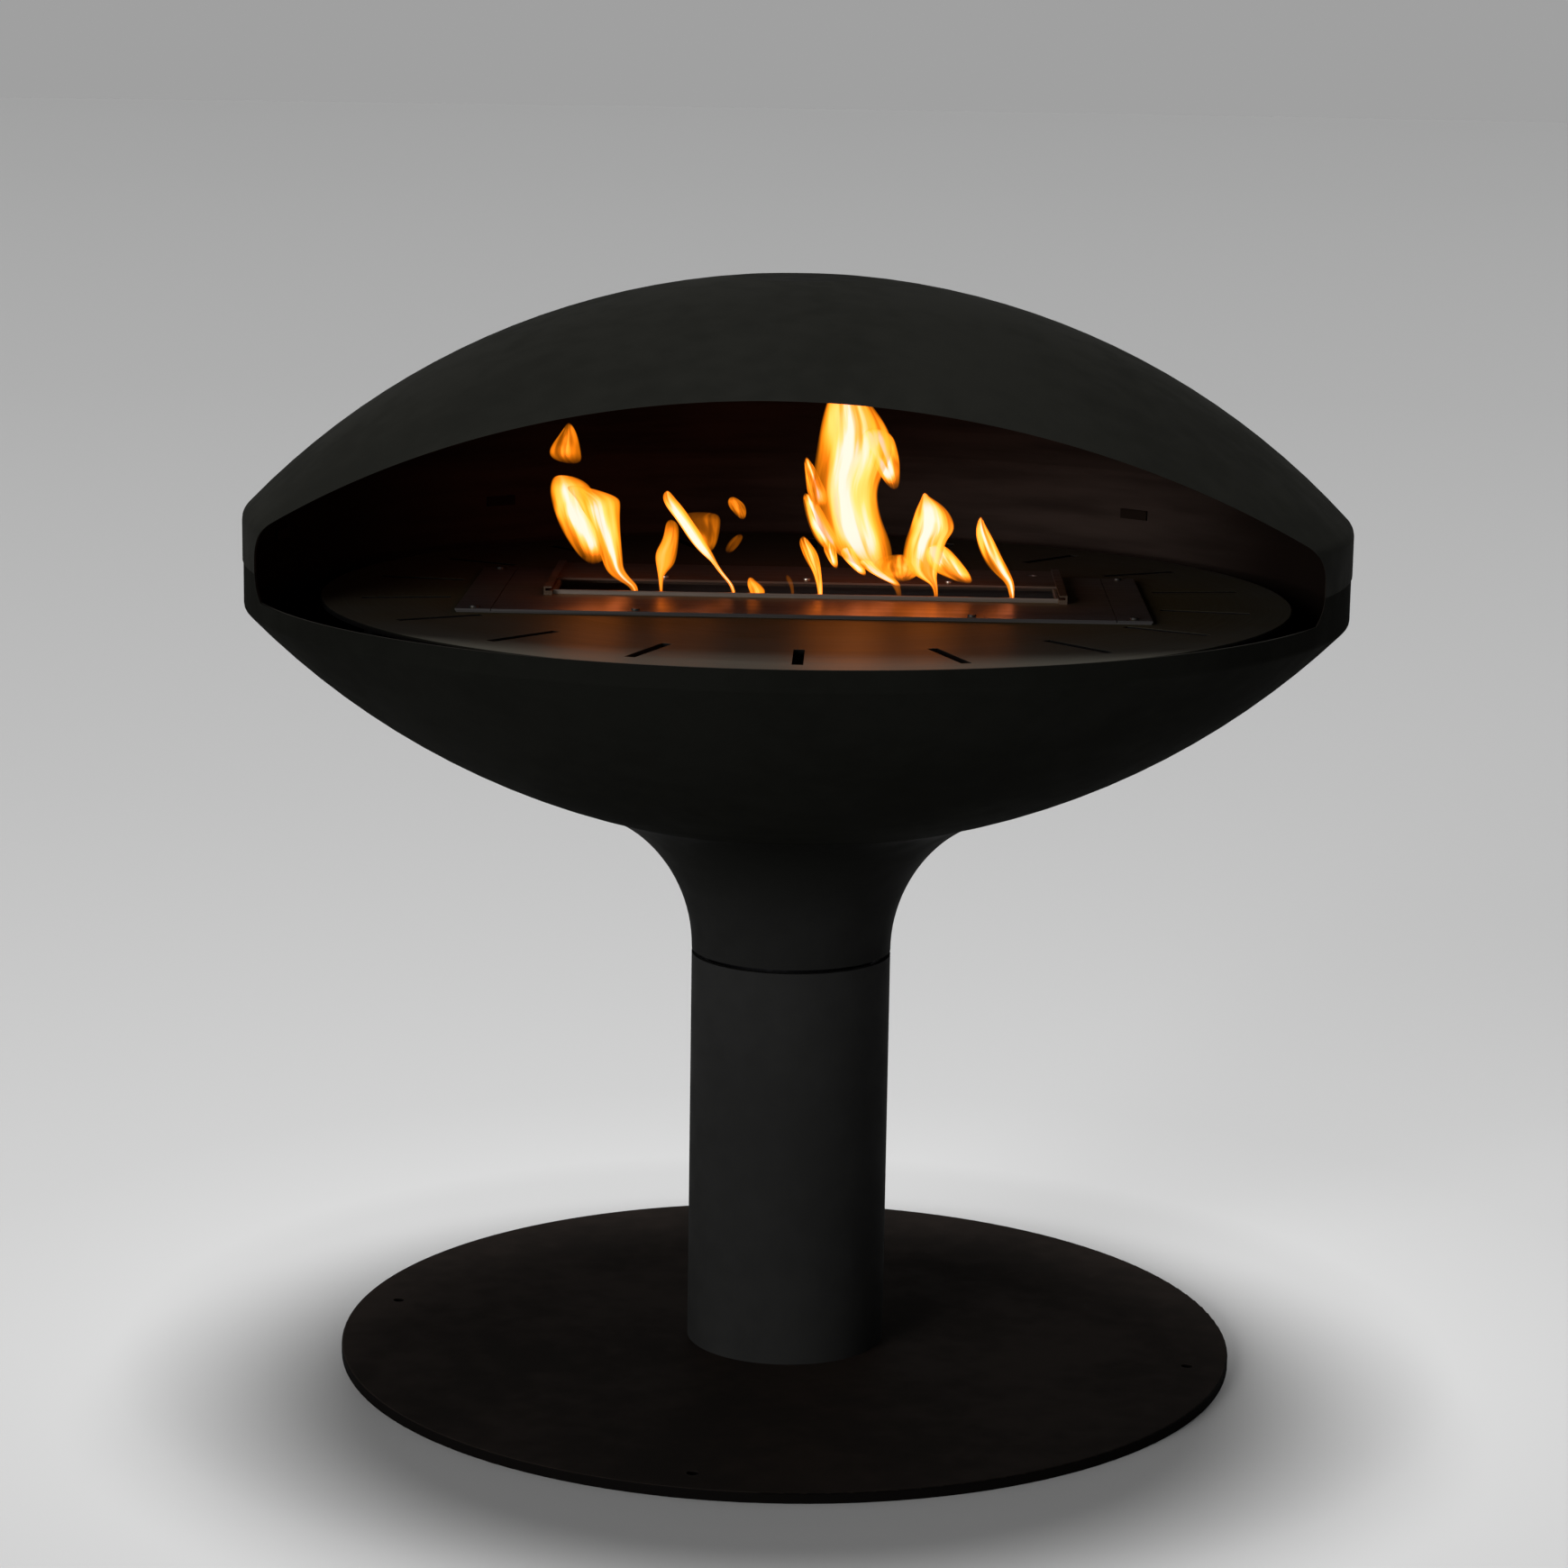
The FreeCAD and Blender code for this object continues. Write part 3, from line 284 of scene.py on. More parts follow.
class Effects:
    """Shader node groups that several finishes share."""

    def __init__(self) -> None:
        """Build every group once."""
        self.peel = self._peel()
        self.brush = self._brush()
        self.heat = self._heat()
        self.wall = self._wall()
        self.dust = self._dust()

    @staticmethod
    def _start(
        name: str, inputs: dict[str, Any], outputs: tuple[str, ...]
    ) -> tuple[Graph, Any, Node]:
        """Start a group with named sockets, the first of them the place to read.

        Args:
            name: name of the group.
            inputs: default number by socket name, or None for a vector.
            outputs: names of the value outputs.

        Returns:
            The graph, the group's entries and its output node.
        """
        tree = bpy.data.node_groups.new(name, "ShaderNodeTree")
        for label, default in inputs.items():
            kind = "NodeSocketVector" if default is None else "NodeSocketFloat"
            socket = tree.interface.new_socket(label, in_out="INPUT", socket_type=kind)
            if default is not None:
                socket.default_value = default
        for label in outputs:
            tree.interface.new_socket(label, in_out="OUTPUT", socket_type="NodeSocketFloat")
        graph = Graph(tree)
        return graph, graph.add("NodeGroupInput").outputs, graph.add("NodeGroupOutput")

    def _peel(self) -> Tree:
        """Build the fine orange-peel texture of sprayed and baked powder.

        Returns:
            The group.
        """
        graph, entry, result = self._start(
            "powder_peel", {"Place": None, "Grain": 620.0}, ("Height", "Mottle")
        )
        place = entry["Place"]
        fine = graph.noise(place, scale=entry["Grain"], detail=2.0)
        coarse = graph.noise(place, scale=210.0, detail=2.0)
        broad = graph.noise(place, scale=5.5, detail=4.0)
        close = graph.noise(place, scale=38.0, detail=3.0)
        mottle = graph.weighted((broad, 0.65), (close, 0.35))
        graph.feed(result, {
            "Height": graph.weighted((fine, 0.7), (coarse, 0.5)),
            "Mottle": graph.span(mottle, low=0.34, high=0.66),
        })
        return graph.tree

    def _brush(self) -> Tree:
        """Build the streaks of brushed sheet, along a place that is already stretched.

        Returns:
            The group.
        """
        graph, entry, result = self._start(
            "brushed_streaks", {"Stretched": None}, ("Streak", "Height")
        )
        fine = graph.noise(entry["Stretched"], scale=1.0, detail=4.0)
        broad = graph.noise(entry["Stretched"], scale=0.16, detail=3.0)
        streak = graph.weighted((fine, 0.6), (broad, 0.4))
        graph.feed(result, {"Streak": graph.span(streak, low=0.3, high=0.7), "Height": fine})
        return graph.tree

    def _heat(self) -> Tree:
        """Build the heat stain round the burner slot, strongest near the slot's line.

        Returns:
            The group.
        """
        graph, entry, result = self._start(
            "heat_stain", {"Place": None, "Reach": 0.2}, ("Stain",)
        )
        part = graph.parts(entry["Place"])
        past_end = graph.maths("SUBTRACT", graph.maths("ABSOLUTE", part["X"]), SLOT_HALF)
        beyond = graph.maths("POWER", graph.maths("MAXIMUM", past_end, 0.0), 2.0)
        across = graph.maths("POWER", graph.maths("SUBTRACT", part["Y"], SLOT_Y), 2.0)
        distance = graph.maths("SQRT", graph.maths("ADD", beyond, across))
        cloud = graph.noise(entry["Place"], scale=17.0, detail=4.0)
        wander = graph.maths("ADD", graph.maths("MULTIPLY", cloud, 0.9), 0.55)
        uneven = graph.maths("MULTIPLY", distance, wander)
        graph.put(result.inputs["Stain"], graph.span(uneven, low=entry["Reach"], high=0.0))
        return graph.tree

    def _wall(self) -> Tree:
        """Build the masks that tell a shell's outer face, cut edge and inner face apart.

        Returns:
            The group.
        """
        graph, entry, result = self._start(
            "shell_sides",
            {
                "Place": None,
                "Centre Height": 0.0,
                "Inner Sphere": 0.721,
                "Inner Radius": 0.522,
                "Wall": 0.004,
            },
            ("Outside", "Edge"),
        )
        centre = graph.joined(0.0, 0.0, entry["Centre Height"])
        sphere = graph.vector("DISTANCE", entry["Place"], centre)
        radius = graph.vector("LENGTH", graph.stretched(entry["Place"], LEVEL))
        depth = graph.maths(
            "MAXIMUM",
            graph.maths("SUBTRACT", sphere, entry["Inner Sphere"]),
            graph.maths("SUBTRACT", radius, entry["Inner Radius"]),
        )
        share = graph.maths("DIVIDE", depth, entry["Wall"])
        above = graph.span(share, low=0.1, high=0.16)
        below = graph.span(share, low=0.48, high=0.4)
        graph.feed(result, {
            "Outside": graph.span(share, low=0.4, high=0.48),
            "Edge": graph.maths("MULTIPLY", above, below),
        })
        return graph.tree

    def _dust(self) -> Tree:
        """Build sparse pale specks of settled dust.

        Returns:
            The group.
        """
        graph, entry, result = self._start(
            "dust_specks", {"Place": None, "Size": 0.09}, ("Speck",)
        )
        cells = graph.add("ShaderNodeTexVoronoi", feature="F1")
        graph.feed(cells, {"Vector": entry["Place"], "Scale": 130.0})
        cloud = graph.noise(entry["Place"], scale=24.0, detail=2.0)
        chosen = graph.span(cloud, low=0.56, high=0.7)
        speck = graph.span(cells.outputs["Distance"], low=entry["Size"], high=0.0)
        graph.put(result.inputs["Speck"], graph.maths("MULTIPLY", speck, chosen))
        return graph.tree


@dataclass(frozen=True)
class Finish:
    """A named surface finish; each kind fills its shader in its own way."""

    name: str

    def make(self, effects: Effects) -> bpy.types.Material:
        """Make the material.

        Args:
            effects: the shared node groups.

        Returns:
            The finished material.
        """
        material = bpy.data.materials.new(self.name)
        material.use_nodes = True
        graph = Graph(material.node_tree)
        shader = next(node for node in graph.tree.nodes if node.type == "BSDF_PRINCIPLED")
        self.fill(graph, shader, effects)
        return material

    def fill(self, graph: Graph, shader: Node, effects: Effects) -> None:
        """Fill the shader; each finish does this in its own way."""
        raise NotImplementedError

    @staticmethod
    def use(graph: Graph, group: Tree, **inputs: Any) -> Any:
        """Place a shared group.

        Args:
            graph: graph of the material.
            group: the shared node group.
            inputs: its inputs, with _ for a space in a socket's name.

        Returns:
            The group's outputs.
        """
        node = graph.add("ShaderNodeGroup", node_tree=group)
        graph.feed(node, {name.replace("_", " "): value for name, value in inputs.items()})
        return node.outputs

    @staticmethod
    def bump(graph: Graph, shader: Node, height: Socket, strength: float, depth: float) -> None:
        """Drive the shader's normal from a height.

        Args:
            graph: graph of the material.
            shader: the Principled shader.
            height: height socket.
            strength: strength of the bump.
            depth: real depth of the texture.
        """
        node = graph.add("ShaderNodeBump")
        graph.feed(node, {"Strength": strength, "Distance": depth, "Height": height})
        graph.put(shader.inputs["Normal"], node.outputs[0])


@dataclass(frozen=True)
class PowderCoat(Finish):
    """Matte black powder coat with a fine peel, a faint mottle and a little dust."""

    dark: Colour = (0.0096, 0.0097, 0.0081)
    light: Colour = (0.0118, 0.0118, 0.0098)
    dust: Colour = (0.035, 0.033, 0.03)
    dust_share: float = 0.35
    roughness: float = 0.66
    specular: float = 0.008

    def fill(self, graph: Graph, shader: Node, effects: Effects) -> None:
        """Fill the shader with the coat.

        Args:
            graph: graph of the material.
            shader: the Principled shader.
            effects: the shared node groups.
        """
        place = graph.place()
        peel = self.use(graph, effects.peel, Place=place, Grain=620.0)
        specks = self.use(graph, effects.dust, Place=place, Size=0.07)
        coat = graph.blend(peel["Mottle"], self.dark, self.light)
        coat = self.tint(graph, place, coat, effects)
        dusty = graph.maths("MULTIPLY", specks["Speck"], self.dust_share)
        rougher, smoother = self.roughness + 0.06, self.roughness - 0.05
        graph.feed(shader, {
            "Base Color": graph.blend(dusty, coat, self.dust),
            "Roughness": graph.span(peel["Mottle"], 0.0, 1.0, start=rougher, end=smoother),
            "Specular IOR Level": self.specular,
        })
        self.bump(graph, shader, peel["Height"], strength=0.3, depth=0.0003)

    def tint(self, graph: Graph, place: Socket, coat: Socket, effects: Effects) -> Socket:
        """Return the coat's colour as it is; other coats change it by place."""
        return coat


@dataclass(frozen=True)
class PaintedShadeCoat(PowderCoat):
    """Powder coat that passes into a darker tone between two heights, a painted shade."""

    # other is the darker tone of the painted shade.
    other: Colour = (0.0, 0.0, 0.0)
    start: float = 0.0
    stop: float = 1.0

    def tint(self, graph: Graph, place: Socket, coat: Socket, effects: Effects) -> Socket:
        """Return the coat's colour, passing into the darker tone of painted shade."""
        shade_share = graph.span(graph.parts(place)["Z"], self.start, self.stop)
        return graph.blend(shade_share, coat, self.other)


@dataclass(frozen=True)
class ShellCoat(PowderCoat):
    """Powder coat on a shell, dark inside with a warm pale painted glow of the flames towards the
    back, and a painted highlight on its cut edge.
    """

    centre_height: float = 0.0
    inner_sphere: float = 0.721
    inner_radius: float = 0.522
    wall: float = 0.004
    inner_dark: Colour = (0.0065, 0.0045, 0.0036)
    inner_glow: Colour = (0.042, 0.034, 0.029)
    edge_highlight: Colour = (0.036, 0.035, 0.031)
    edge_highlight_share: float = 0.8

    def tint(self, graph: Graph, place: Socket, coat: Socket, effects: Effects) -> Socket:
        """Colour the inner side with its painted glow and the cut edge with its painted highlight.

        Args:
            graph: graph of the material.
            place: object coordinates.
            coat: the coat's own colour.
            effects: the shared node groups.

        Returns:
            The tinted colour.
        """
        sides = self.use(
            graph,
            effects.wall,
            Place=place,
            Centre_Height=self.centre_height,
            Inner_Sphere=self.inner_sphere,
            Inner_Radius=self.inner_radius,
            Wall=self.wall,
        )
        # The inner face passes from a dark tone in front to a warm pale tone behind, in streaky
        # patches; the warm pale tone is a painted glow of the flames.
        streaks = graph.noise(graph.stretched(place, (3.0, 3.0, 26.0)), scale=2.0, detail=4.0)
        glow_behind = graph.span(graph.parts(place)["Y"], low=0.2, high=0.5)
        patchy = graph.span(streaks, low=0.25, high=0.7, start=0.45)
        inside = graph.blend(graph.maths("MULTIPLY", glow_behind, patchy), self.inner_dark, self.inner_glow)
        walls = graph.blend(sides["Outside"], inside, coat)
        # Painted highlight along the shell's cut edge.
        edge = graph.maths("MULTIPLY", sides["Edge"], self.edge_highlight_share)
        return graph.blend(edge, walls, self.edge_highlight)


@dataclass(frozen=True)
class BrushedSteel(Finish):
    """Brushed steel sheet of the hearth, with a heat stain towards the burner slot.

    edge tints what the sheet mirrors at a low angle. A sheet with a top_height is
    painted black below it, on its rim and in its slots, a painted shade.
    """

    colour: Colour = (0.3, 0.3, 0.3)
    stain: Colour = (0.2, 0.15, 0.11)
    stain_share: float = 0.75
    dust: Colour = (0.2, 0.19, 0.18)
    dust_share: float = 0.3
    grain: Grain = Grain.ALONG_X
    smooth: float = 0.28
    rough: float = 0.42
    reach: float = 0.2
    metallic: float = 0.5
    specular: float = 0.08
    edge: Colour = (1.0, 0.85, 0.35)
    top_height: float = 0.0
    # below is the black of the painted shade on the rim and in the slots.
    below: Colour = (0.007, 0.0065, 0.0065)

    def fill(self, graph: Graph, shader: Node, effects: Effects) -> None:
        """Fill the shader with the brushed sheet.

        Args:
            graph: graph of the material.
            shader: the Principled shader.
            effects: the shared node groups.
        """
        mapping = graph.add("ShaderNodeMapping", vector_type="TEXTURE")
        turn = (0.0, 0.0, HEARTH_TURN)
        graph.feed(mapping, {"Vector": graph.place(), "Location": HEARTH_SHIFT, "Rotation": turn})
        place = mapping.outputs[0]
        run = self._rings(graph, place) if self.grain is Grain.ROUND else place
        run = graph.stretched(run, self.grain.value)
        brush = self.use(graph, effects.brush, Stretched=run)
        stain = self.use(graph, effects.heat, Place=place, Reach=self.reach)["Stain"]
        speck = self.use(graph, effects.dust, Place=place, Size=0.08)["Speck"]
        dark = tuple(0.78 * part for part in self.colour)
        colour = graph.blend(brush["Streak"], dark, self.colour)
        for mask, share, tone in (
            (stain, self.stain_share, self.stain),
            (speck, self.dust_share, self.dust),
        ):
            colour = graph.blend(graph.maths("MULTIPLY", mask, share), colour, tone)
        # Painted shade: everything below the top face turns black.
        if self.top_height:
            height = graph.parts(place)["Z"]
            face = graph.span(height, self.top_height - 0.3 * MM, self.top_height - 0.1 * MM)
            colour = graph.blend(face, self.below, colour)
        rough = graph.span(brush["Streak"], 0.0, 1.0, start=self.smooth, end=self.rough)
        graph.feed(shader, {
            "Base Color": colour,
            "Specular Tint": self.edge,
            "Metallic": self.metallic,
            "Specular IOR Level": self.specular,
            "Roughness": graph.maths("ADD", rough, graph.maths("MULTIPLY", stain, 0.06)),
        })
        self.bump(graph, shader, brush["Height"], strength=0.1, depth=0.0001)

    @staticmethod
    def _rings(graph: Graph, place: Socket) -> Socket:
        """Return radius, turn and height in place of X, Y and Z."""
        part = graph.parts(place)
        radius = graph.vector("LENGTH", graph.stretched(place, LEVEL))
        return graph.joined(radius, graph.maths("ARCTAN2", part["Y"], part["X"]), part["Z"])


@dataclass(frozen=True)
class PlainMetal(Finish):
    """Machined metal with fine tool marks and a slight stain."""

    colour: Colour = (0.55, 0.55, 0.55)
    shade: Colour = (0.4, 0.4, 0.41)
    roughness: float = 0.3

    def fill(self, graph: Graph, shader: Node, effects: Effects) -> None:
        """Fill the shader with the machined metal.

        Args:
            graph: graph of the material.
            shader: the Principled shader.
            effects: the shared node groups.
        """
        place = graph.place()
        run = graph.stretched(place, Grain.ALONG_Z.value)
        brush = self.use(graph, effects.brush, Stretched=run)
        cloud = graph.span(graph.noise(place, scale=60.0, detail=4.0), low=0.35, high=0.65)
        both = graph.maths("MULTIPLY", graph.maths("ADD", cloud, brush["Streak"]), 0.5)
        rougher = self.roughness + 0.12
        graph.feed(shader, {
            "Base Color": graph.blend(both, self.shade, self.colour),
            "Metallic": 1.0,
            "Roughness": graph.span(both, 0.0, 1.0, start=rougher, end=self.roughness),
        })
        self.bump(graph, shader, brush["Height"], strength=0.12, depth=0.00008)


@dataclass(frozen=True)
class CeramicWool(Finish):
    """Pale absorbent fibre, scorched along the slot, with painted shade in its hollows."""

    fibre: Colour = (0.62, 0.6, 0.55)
    hollow_shade: Colour = (0.36, 0.34, 0.3)
    scorch: Colour = (0.05, 0.042, 0.036)
    reach: float = 0.075

    def fill(self, graph: Graph, shader: Node, effects: Effects) -> None:
        """Fill the shader with matted fibres.

        Args:
            graph: graph of the material.
            shader: the Principled shader.
            effects: the shared node groups.
        """
        place = graph.place()
        fibres, crossed = (
            graph.noise(graph.stretched(place, run), scale=1.0, detail=6.0)
            for run in ((160.0, 620.0, 300.0), (540.0, 150.0, 300.0))
        )
        matted = graph.maths("MAXIMUM", fibres, crossed)
        heat = self.use(graph, effects.heat, Place=place, Reach=self.reach)
        # The fibre is painted darker where the bump is low: painted shade in the hollows.
        pale = graph.blend(graph.span(matted, low=0.4, high=0.72), self.hollow_shade, self.fibre)
        graph.feed(shader, {
            "Base Color": graph.blend(heat["Stain"], pale, self.scorch),
            "Roughness": graph.span(matted, low=0.4, high=0.7, start=0.98, end=0.86),
            "Specular IOR Level": 0.1,
        })
        self.bump(graph, shader, matted, strength=0.7, depth=0.0015)


@dataclass(frozen=True)
class FlameGlow(Finish):
    """Burning gas, pale in its core, orange at its edges and faint at its root."""

    strength: float = 3.6
    tones: tuple[tuple[float, Colour], ...] = (
        (0.0, (0.12, 0.03, 0.0003)),
        (0.25, (0.36, 0.083, 0.0018)),
        (0.5, (0.8, 0.165, 0.01)),
        (0.75, (1.0, 0.235, 0.05)),
        (0.97, (1.0, 0.275, 0.225)),
    )

    def fill(self, graph: Graph, shader: Node, effects: Effects) -> None:
        """Fill the shader with the glow, from the flame's own attributes.

        Args:
            graph: graph of the material.
            shader: the Principled shader.
            effects: the shared node groups; not used.
        """
        core, across, rise, body = (
            graph.add("ShaderNodeAttribute", attribute_name=name).outputs["Fac"]
            for name in ("core", "across", "rise", "body")
        )
        flow = graph.joined(across, rise, body)
        drift = graph.stretched(graph.place(), (14.0, 8.0, 5.0))
        streaks, folds = (
            graph.noise(graph.vector("ADD", graph.stretched(flow, run), drift), scale, detail)
            for run, scale, detail in (((1.5, 0.9, 5.0), 1.7, 2.5), ((0.5, 1.6, 9.0), 1.1, 1.5))
        )
        uneven = graph.maths("SUBTRACT", graph.weighted((streaks, 1.5), (folds, 1.2)), 1.4)
        alpha = graph.product(
            graph.span(core, low=0.0, high=0.5),
            graph.span(rise, low=0.1, high=0.4, start=0.05),
            graph.span(rise, low=1.0, high=0.8, start=0.45),
            graph.span(uneven, low=-0.4, high=0.1, start=0.45),
            graph.span(body, low=0.0, high=0.8, start=0.08, end=0.97),
        )
        lean = graph.maths("MULTIPLY", graph.maths("SUBTRACT", folds, 0.5), 1.5)
        aside = graph.maths("ABSOLUTE", graph.maths("ADD", across, lean))
        heat = graph.maths("ADD", graph.weighted((uneven, 0.6), (aside, -0.9)), 1.18)
        glow = graph.product(
            heat,
            graph.span(rise, low=1.15, high=0.6, start=0.7),
            graph.span(rise, low=0.05, high=0.36, start=0.35),
            graph.span(body, low=0.0, high=1.0, start=0.38, end=1.08),
        )
        glow = graph.product(glow, graph.span(alpha, low=0.0, high=0.9, start=0.25))
        graph.feed(shader, {
            "Base Color": (0.0, 0.0, 0.0),
            "Roughness": 1.0,
            "Specular IOR Level": 0.0,
            "Emission Color": graph.ramp(glow, self.tones),
            "Emission Strength": self.strength,
            "Alpha": alpha,
        })


@dataclass(frozen=True)
class FloorPaint(Finish):
    """Pale floor, painted darker with distance: a painted falloff of light.

    tones are spots between the nearest and the farthest distance, both given as
    powers of ten, and the grey at each.
    """

    nearest: float = -0.25
    farthest: float = 1.75
    # The greys paint the fall of light across the floor, darker with distance.
    tones: tuple[tuple[float, float], ...] = (
        (0.014, 0.66),
        (0.035, 0.69),
        (0.114, 0.622),
        (0.37, 0.505),
        (0.6375, 0.406),
        (0.87, 0.36),
        (1.0, 0.344),
    )

    def fill(self, graph: Graph, shader: Node, effects: Effects) -> None:
        """Fill the shader with the floor's greys.

        Args:
            graph: graph of the material.
            shader: the Principled shader.
            effects: the shared node groups; not used.
        """
        distance = graph.maths("MAXIMUM", graph.vector("LENGTH", graph.place()), 0.1)
        node = graph.add("ShaderNodeMapRange", interpolation_type="LINEAR")
        graph.feed(node, {
            "Value": graph.maths("LOGARITHM", distance, 10.0),
            "From Min": self.nearest,
            "From Max": self.farthest,
        })
        greys = tuple((spot, (grey, grey, grey)) for spot, grey in self.tones)
        graph.feed(shader, {
            "Base Color": graph.ramp(node.outputs[0], greys),
            "Roughness": 0.9,
            "Specular IOR Level": 0.0,
        })


class Workbench:
    """Small modelling moves that the pieces share."""

    @staticmethod
    def clear() -> None:
        """Deselect everything."""
        bpy.ops.object.select_all(action="DESELECT")

    @staticmethod
    def select_height(piece: Piece, height: float) -> None:
        """Select the points of a piece at one height, in edit mode.

        Args:
            piece: piece in edit mode.
            height: Z of the points.
        """
        bpy.ops.mesh.select_all(action="DESELECT")
        mesh = bmesh.from_edit_mesh(piece.data)
        for point in mesh.verts:
            if abs(point.co.z - height) < 1e-5:
                point.select_set(True)
        mesh.select_flush(True)
        bmesh.update_edit_mesh(piece.data)

    @staticmethod
    def apply(piece: Piece, kind: str, **settings: Any) -> None:
        """Add a modifier and apply it.

        Args:
            piece: object to change.
            kind: the modifier's type name.
            settings: its properties.
        """
        bpy.context.view_layer.objects.active = piece
        modifier = piece.modifiers.new(kind.lower(), kind)
        for name, setting in settings.items():
            setattr(modifier, name, setting)
        bpy.ops.object.modifier_apply(modifier=modifier.name)

    @staticmethod
    def dress(piece: Piece, material: bpy.types.Material) -> None:
        """Give a piece or a node one material all over.

        Args:
            piece: object to dress.
            material: its material.
        """
        if not piece.material_slots:
            piece.data.materials.append(material)
        for slot in piece.material_slots:
            slot.material = material

    @classmethod
    def dress_nodes(cls, names: Iterable[str], finish: Finish, effects: Effects) -> None:
        """Give several nodes one finish.

        Args:
            names: names of the nodes.
            finish: their finish.
            effects: the shared node groups.
        """
        material = finish.make(effects)
        for name in names:
            cls.dress(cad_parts[name], material)

    @staticmethod
    def named(start: str) -> list[str]:
        """Return the names of the nodes that start with a word."""
        return [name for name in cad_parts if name.startswith(start)]


@dataclass
class Shells:
    """The coated outer pieces: base plate, column, neck, bowl, hood and crown."""

    # The base plate is coated lighter and warmer than the other shells, a painted warm light; below
    # its top face the rim turns dark, a painted shade.
    base_coat: PaintedShadeCoat = PaintedShadeCoat(
        "coat_base",
        dark=(0.0145, 0.012, 0.0105),
        light=(0.0205, 0.0155, 0.013),
        other=(0.0035, 0.003, 0.0028),
        start=0.0097,
        stop=0.0092,
    )
    # The column is coated lighter than the other shells: painted light.
    column_coat: PowderCoat = PowderCoat(
        "coat_column", dark=(0.0138, 0.0138, 0.0134), light=(0.0168, 0.0168, 0.0163)
    )
    # The neck is coated darker than the other shells and darker still towards the bowl above it:
    # painted shade.
    neck_coat: PaintedShadeCoat = PaintedShadeCoat(
        "coat_neck",
        dark=(0.0088, 0.0088, 0.0084),
        light=(0.0108, 0.0108, 0.0103),
        other=(0.0058, 0.0059, 0.0052),
        start=0.43,
        stop=0.535,
    )
    # The bowl is coated darker than the other shells: painted shade on its underside.
    bowl_coat: ShellCoat = ShellCoat(
        "coat_bowl",
        dark=(0.0054, 0.0055, 0.0046),
        light=(0.0068, 0.0069, 0.0058),
        roughness=0.8,
        specular=0.003,
        centre_height=1.24287,
        inner_sphere=0.722,
        wall=0.003,
    )
    hood_coat: ShellCoat = ShellCoat(
        "coat_hood", centre_height=0.32992, inner_sphere=0.721, wall=0.004
    )
    # The crown plate is coated darker than the hood: painted shade on the top.
    crown_coat: PowderCoat = PowderCoat(
        "coat_crown", dark=(0.0068, 0.0068, 0.0058), light=(0.0082, 0.0082, 0.007)
    )
    inside_coat: PowderCoat = PowderCoat(
        "coat_inside", dark=(0.008, 0.006, 0.0045), light=(0.012, 0.009, 0.007)
    )

    def dress(self, effects: Effects) -> None:
        """Coat the nodes.

        Args:
            effects: the shared node groups.
        """
        for names, finish in (
            (["base_plate"], self.base_coat),
            (["column_tube"], self.column_coat),
            (["neck_skin"], self.neck_coat),
            (["bowl_shell"], self.bowl_coat),
            (["hood_shell"], self.hood_coat),
            (["crown_plate"], self.crown_coat),
            (Workbench.named("seam_tab"), self.inside_coat),
        ):
            Workbench.dress_nodes(names, finish, effects)
        LOG.info("shells dressed")


@dataclass
class Swivel:
    """The inner pieces that carry and turn the head."""

    steel: PlainMetal = PlainMetal("steel_turned")
    # The races are near black so that the groove between column and neck reads dark: a painted shade.
    black: PlainMetal = PlainMetal(
        "steel_groove_shade", colour=(0.02, 0.02, 0.021), shade=(0.012, 0.012, 0.013), roughness=0.6
    )
    mild: PlainMetal = PlainMetal(
        "steel_mild", colour=(0.32, 0.32, 0.33), shade=(0.2, 0.195, 0.19), roughness=0.45
    )
    bronze: PlainMetal = PlainMetal(
        "bronze_cast", colour=(0.56, 0.38, 0.17), shade=(0.42, 0.26, 0.1), roughness=0.34
    )
    fasteners: tuple[str, ...] = (
        "foot_bolts", "bearing_balls", "swivel_spindle", "spindle_washer", "spindle_nut",
        "bowl_bolts",
    )
    races: tuple[str, ...] = ("lower_race", "upper_race")
    plates: tuple[str, ...] = (
        "foot_flange", "column_head", "hub_plate", "core_tube", "core_collar", "bowl_plate",
    )
    bearings: tuple[str, ...] = ("ball_cage", "hub_bush")

    def dress(self, effects: Effects) -> None:
        """Give the nodes their metals.

        Args:
            effects: the shared node groups.
        """
        for names, finish in (
            (self.fasteners, self.steel),
            (self.races, self.black),
            (self.plates, self.mild),
            (self.bearings, self.bronze),
        ):
            Workbench.dress_nodes(names, finish, effects)
        LOG.info("swivel dressed")


@dataclass
class Hearth:
    """The slotted hearth disc with its ring and posts."""

    steel: BrushedSteel = BrushedSteel(
        "steel_hearth",
        colour=(0.066, 0.064, 0.054),
        stain=(0.05, 0.031, 0.001),
        grain=Grain.ROUND,
        smooth=0.42,
        rough=0.5,
        reach=0.34,
        metallic=0.4,
        specular=0.004,
        edge=(0.78, 0.76, 0.0),
        # Below this height the disc is painted black, a painted shade on its rim and in its slots.
        top_height=0.7499,
    )

    def dress(self, effects: Effects) -> None:
        """Give disc, ring and posts their dark satin steel."""
        Workbench.dress_nodes(Workbench.named("hearth"), self.steel, effects)
        LOG.info("hearth dressed")


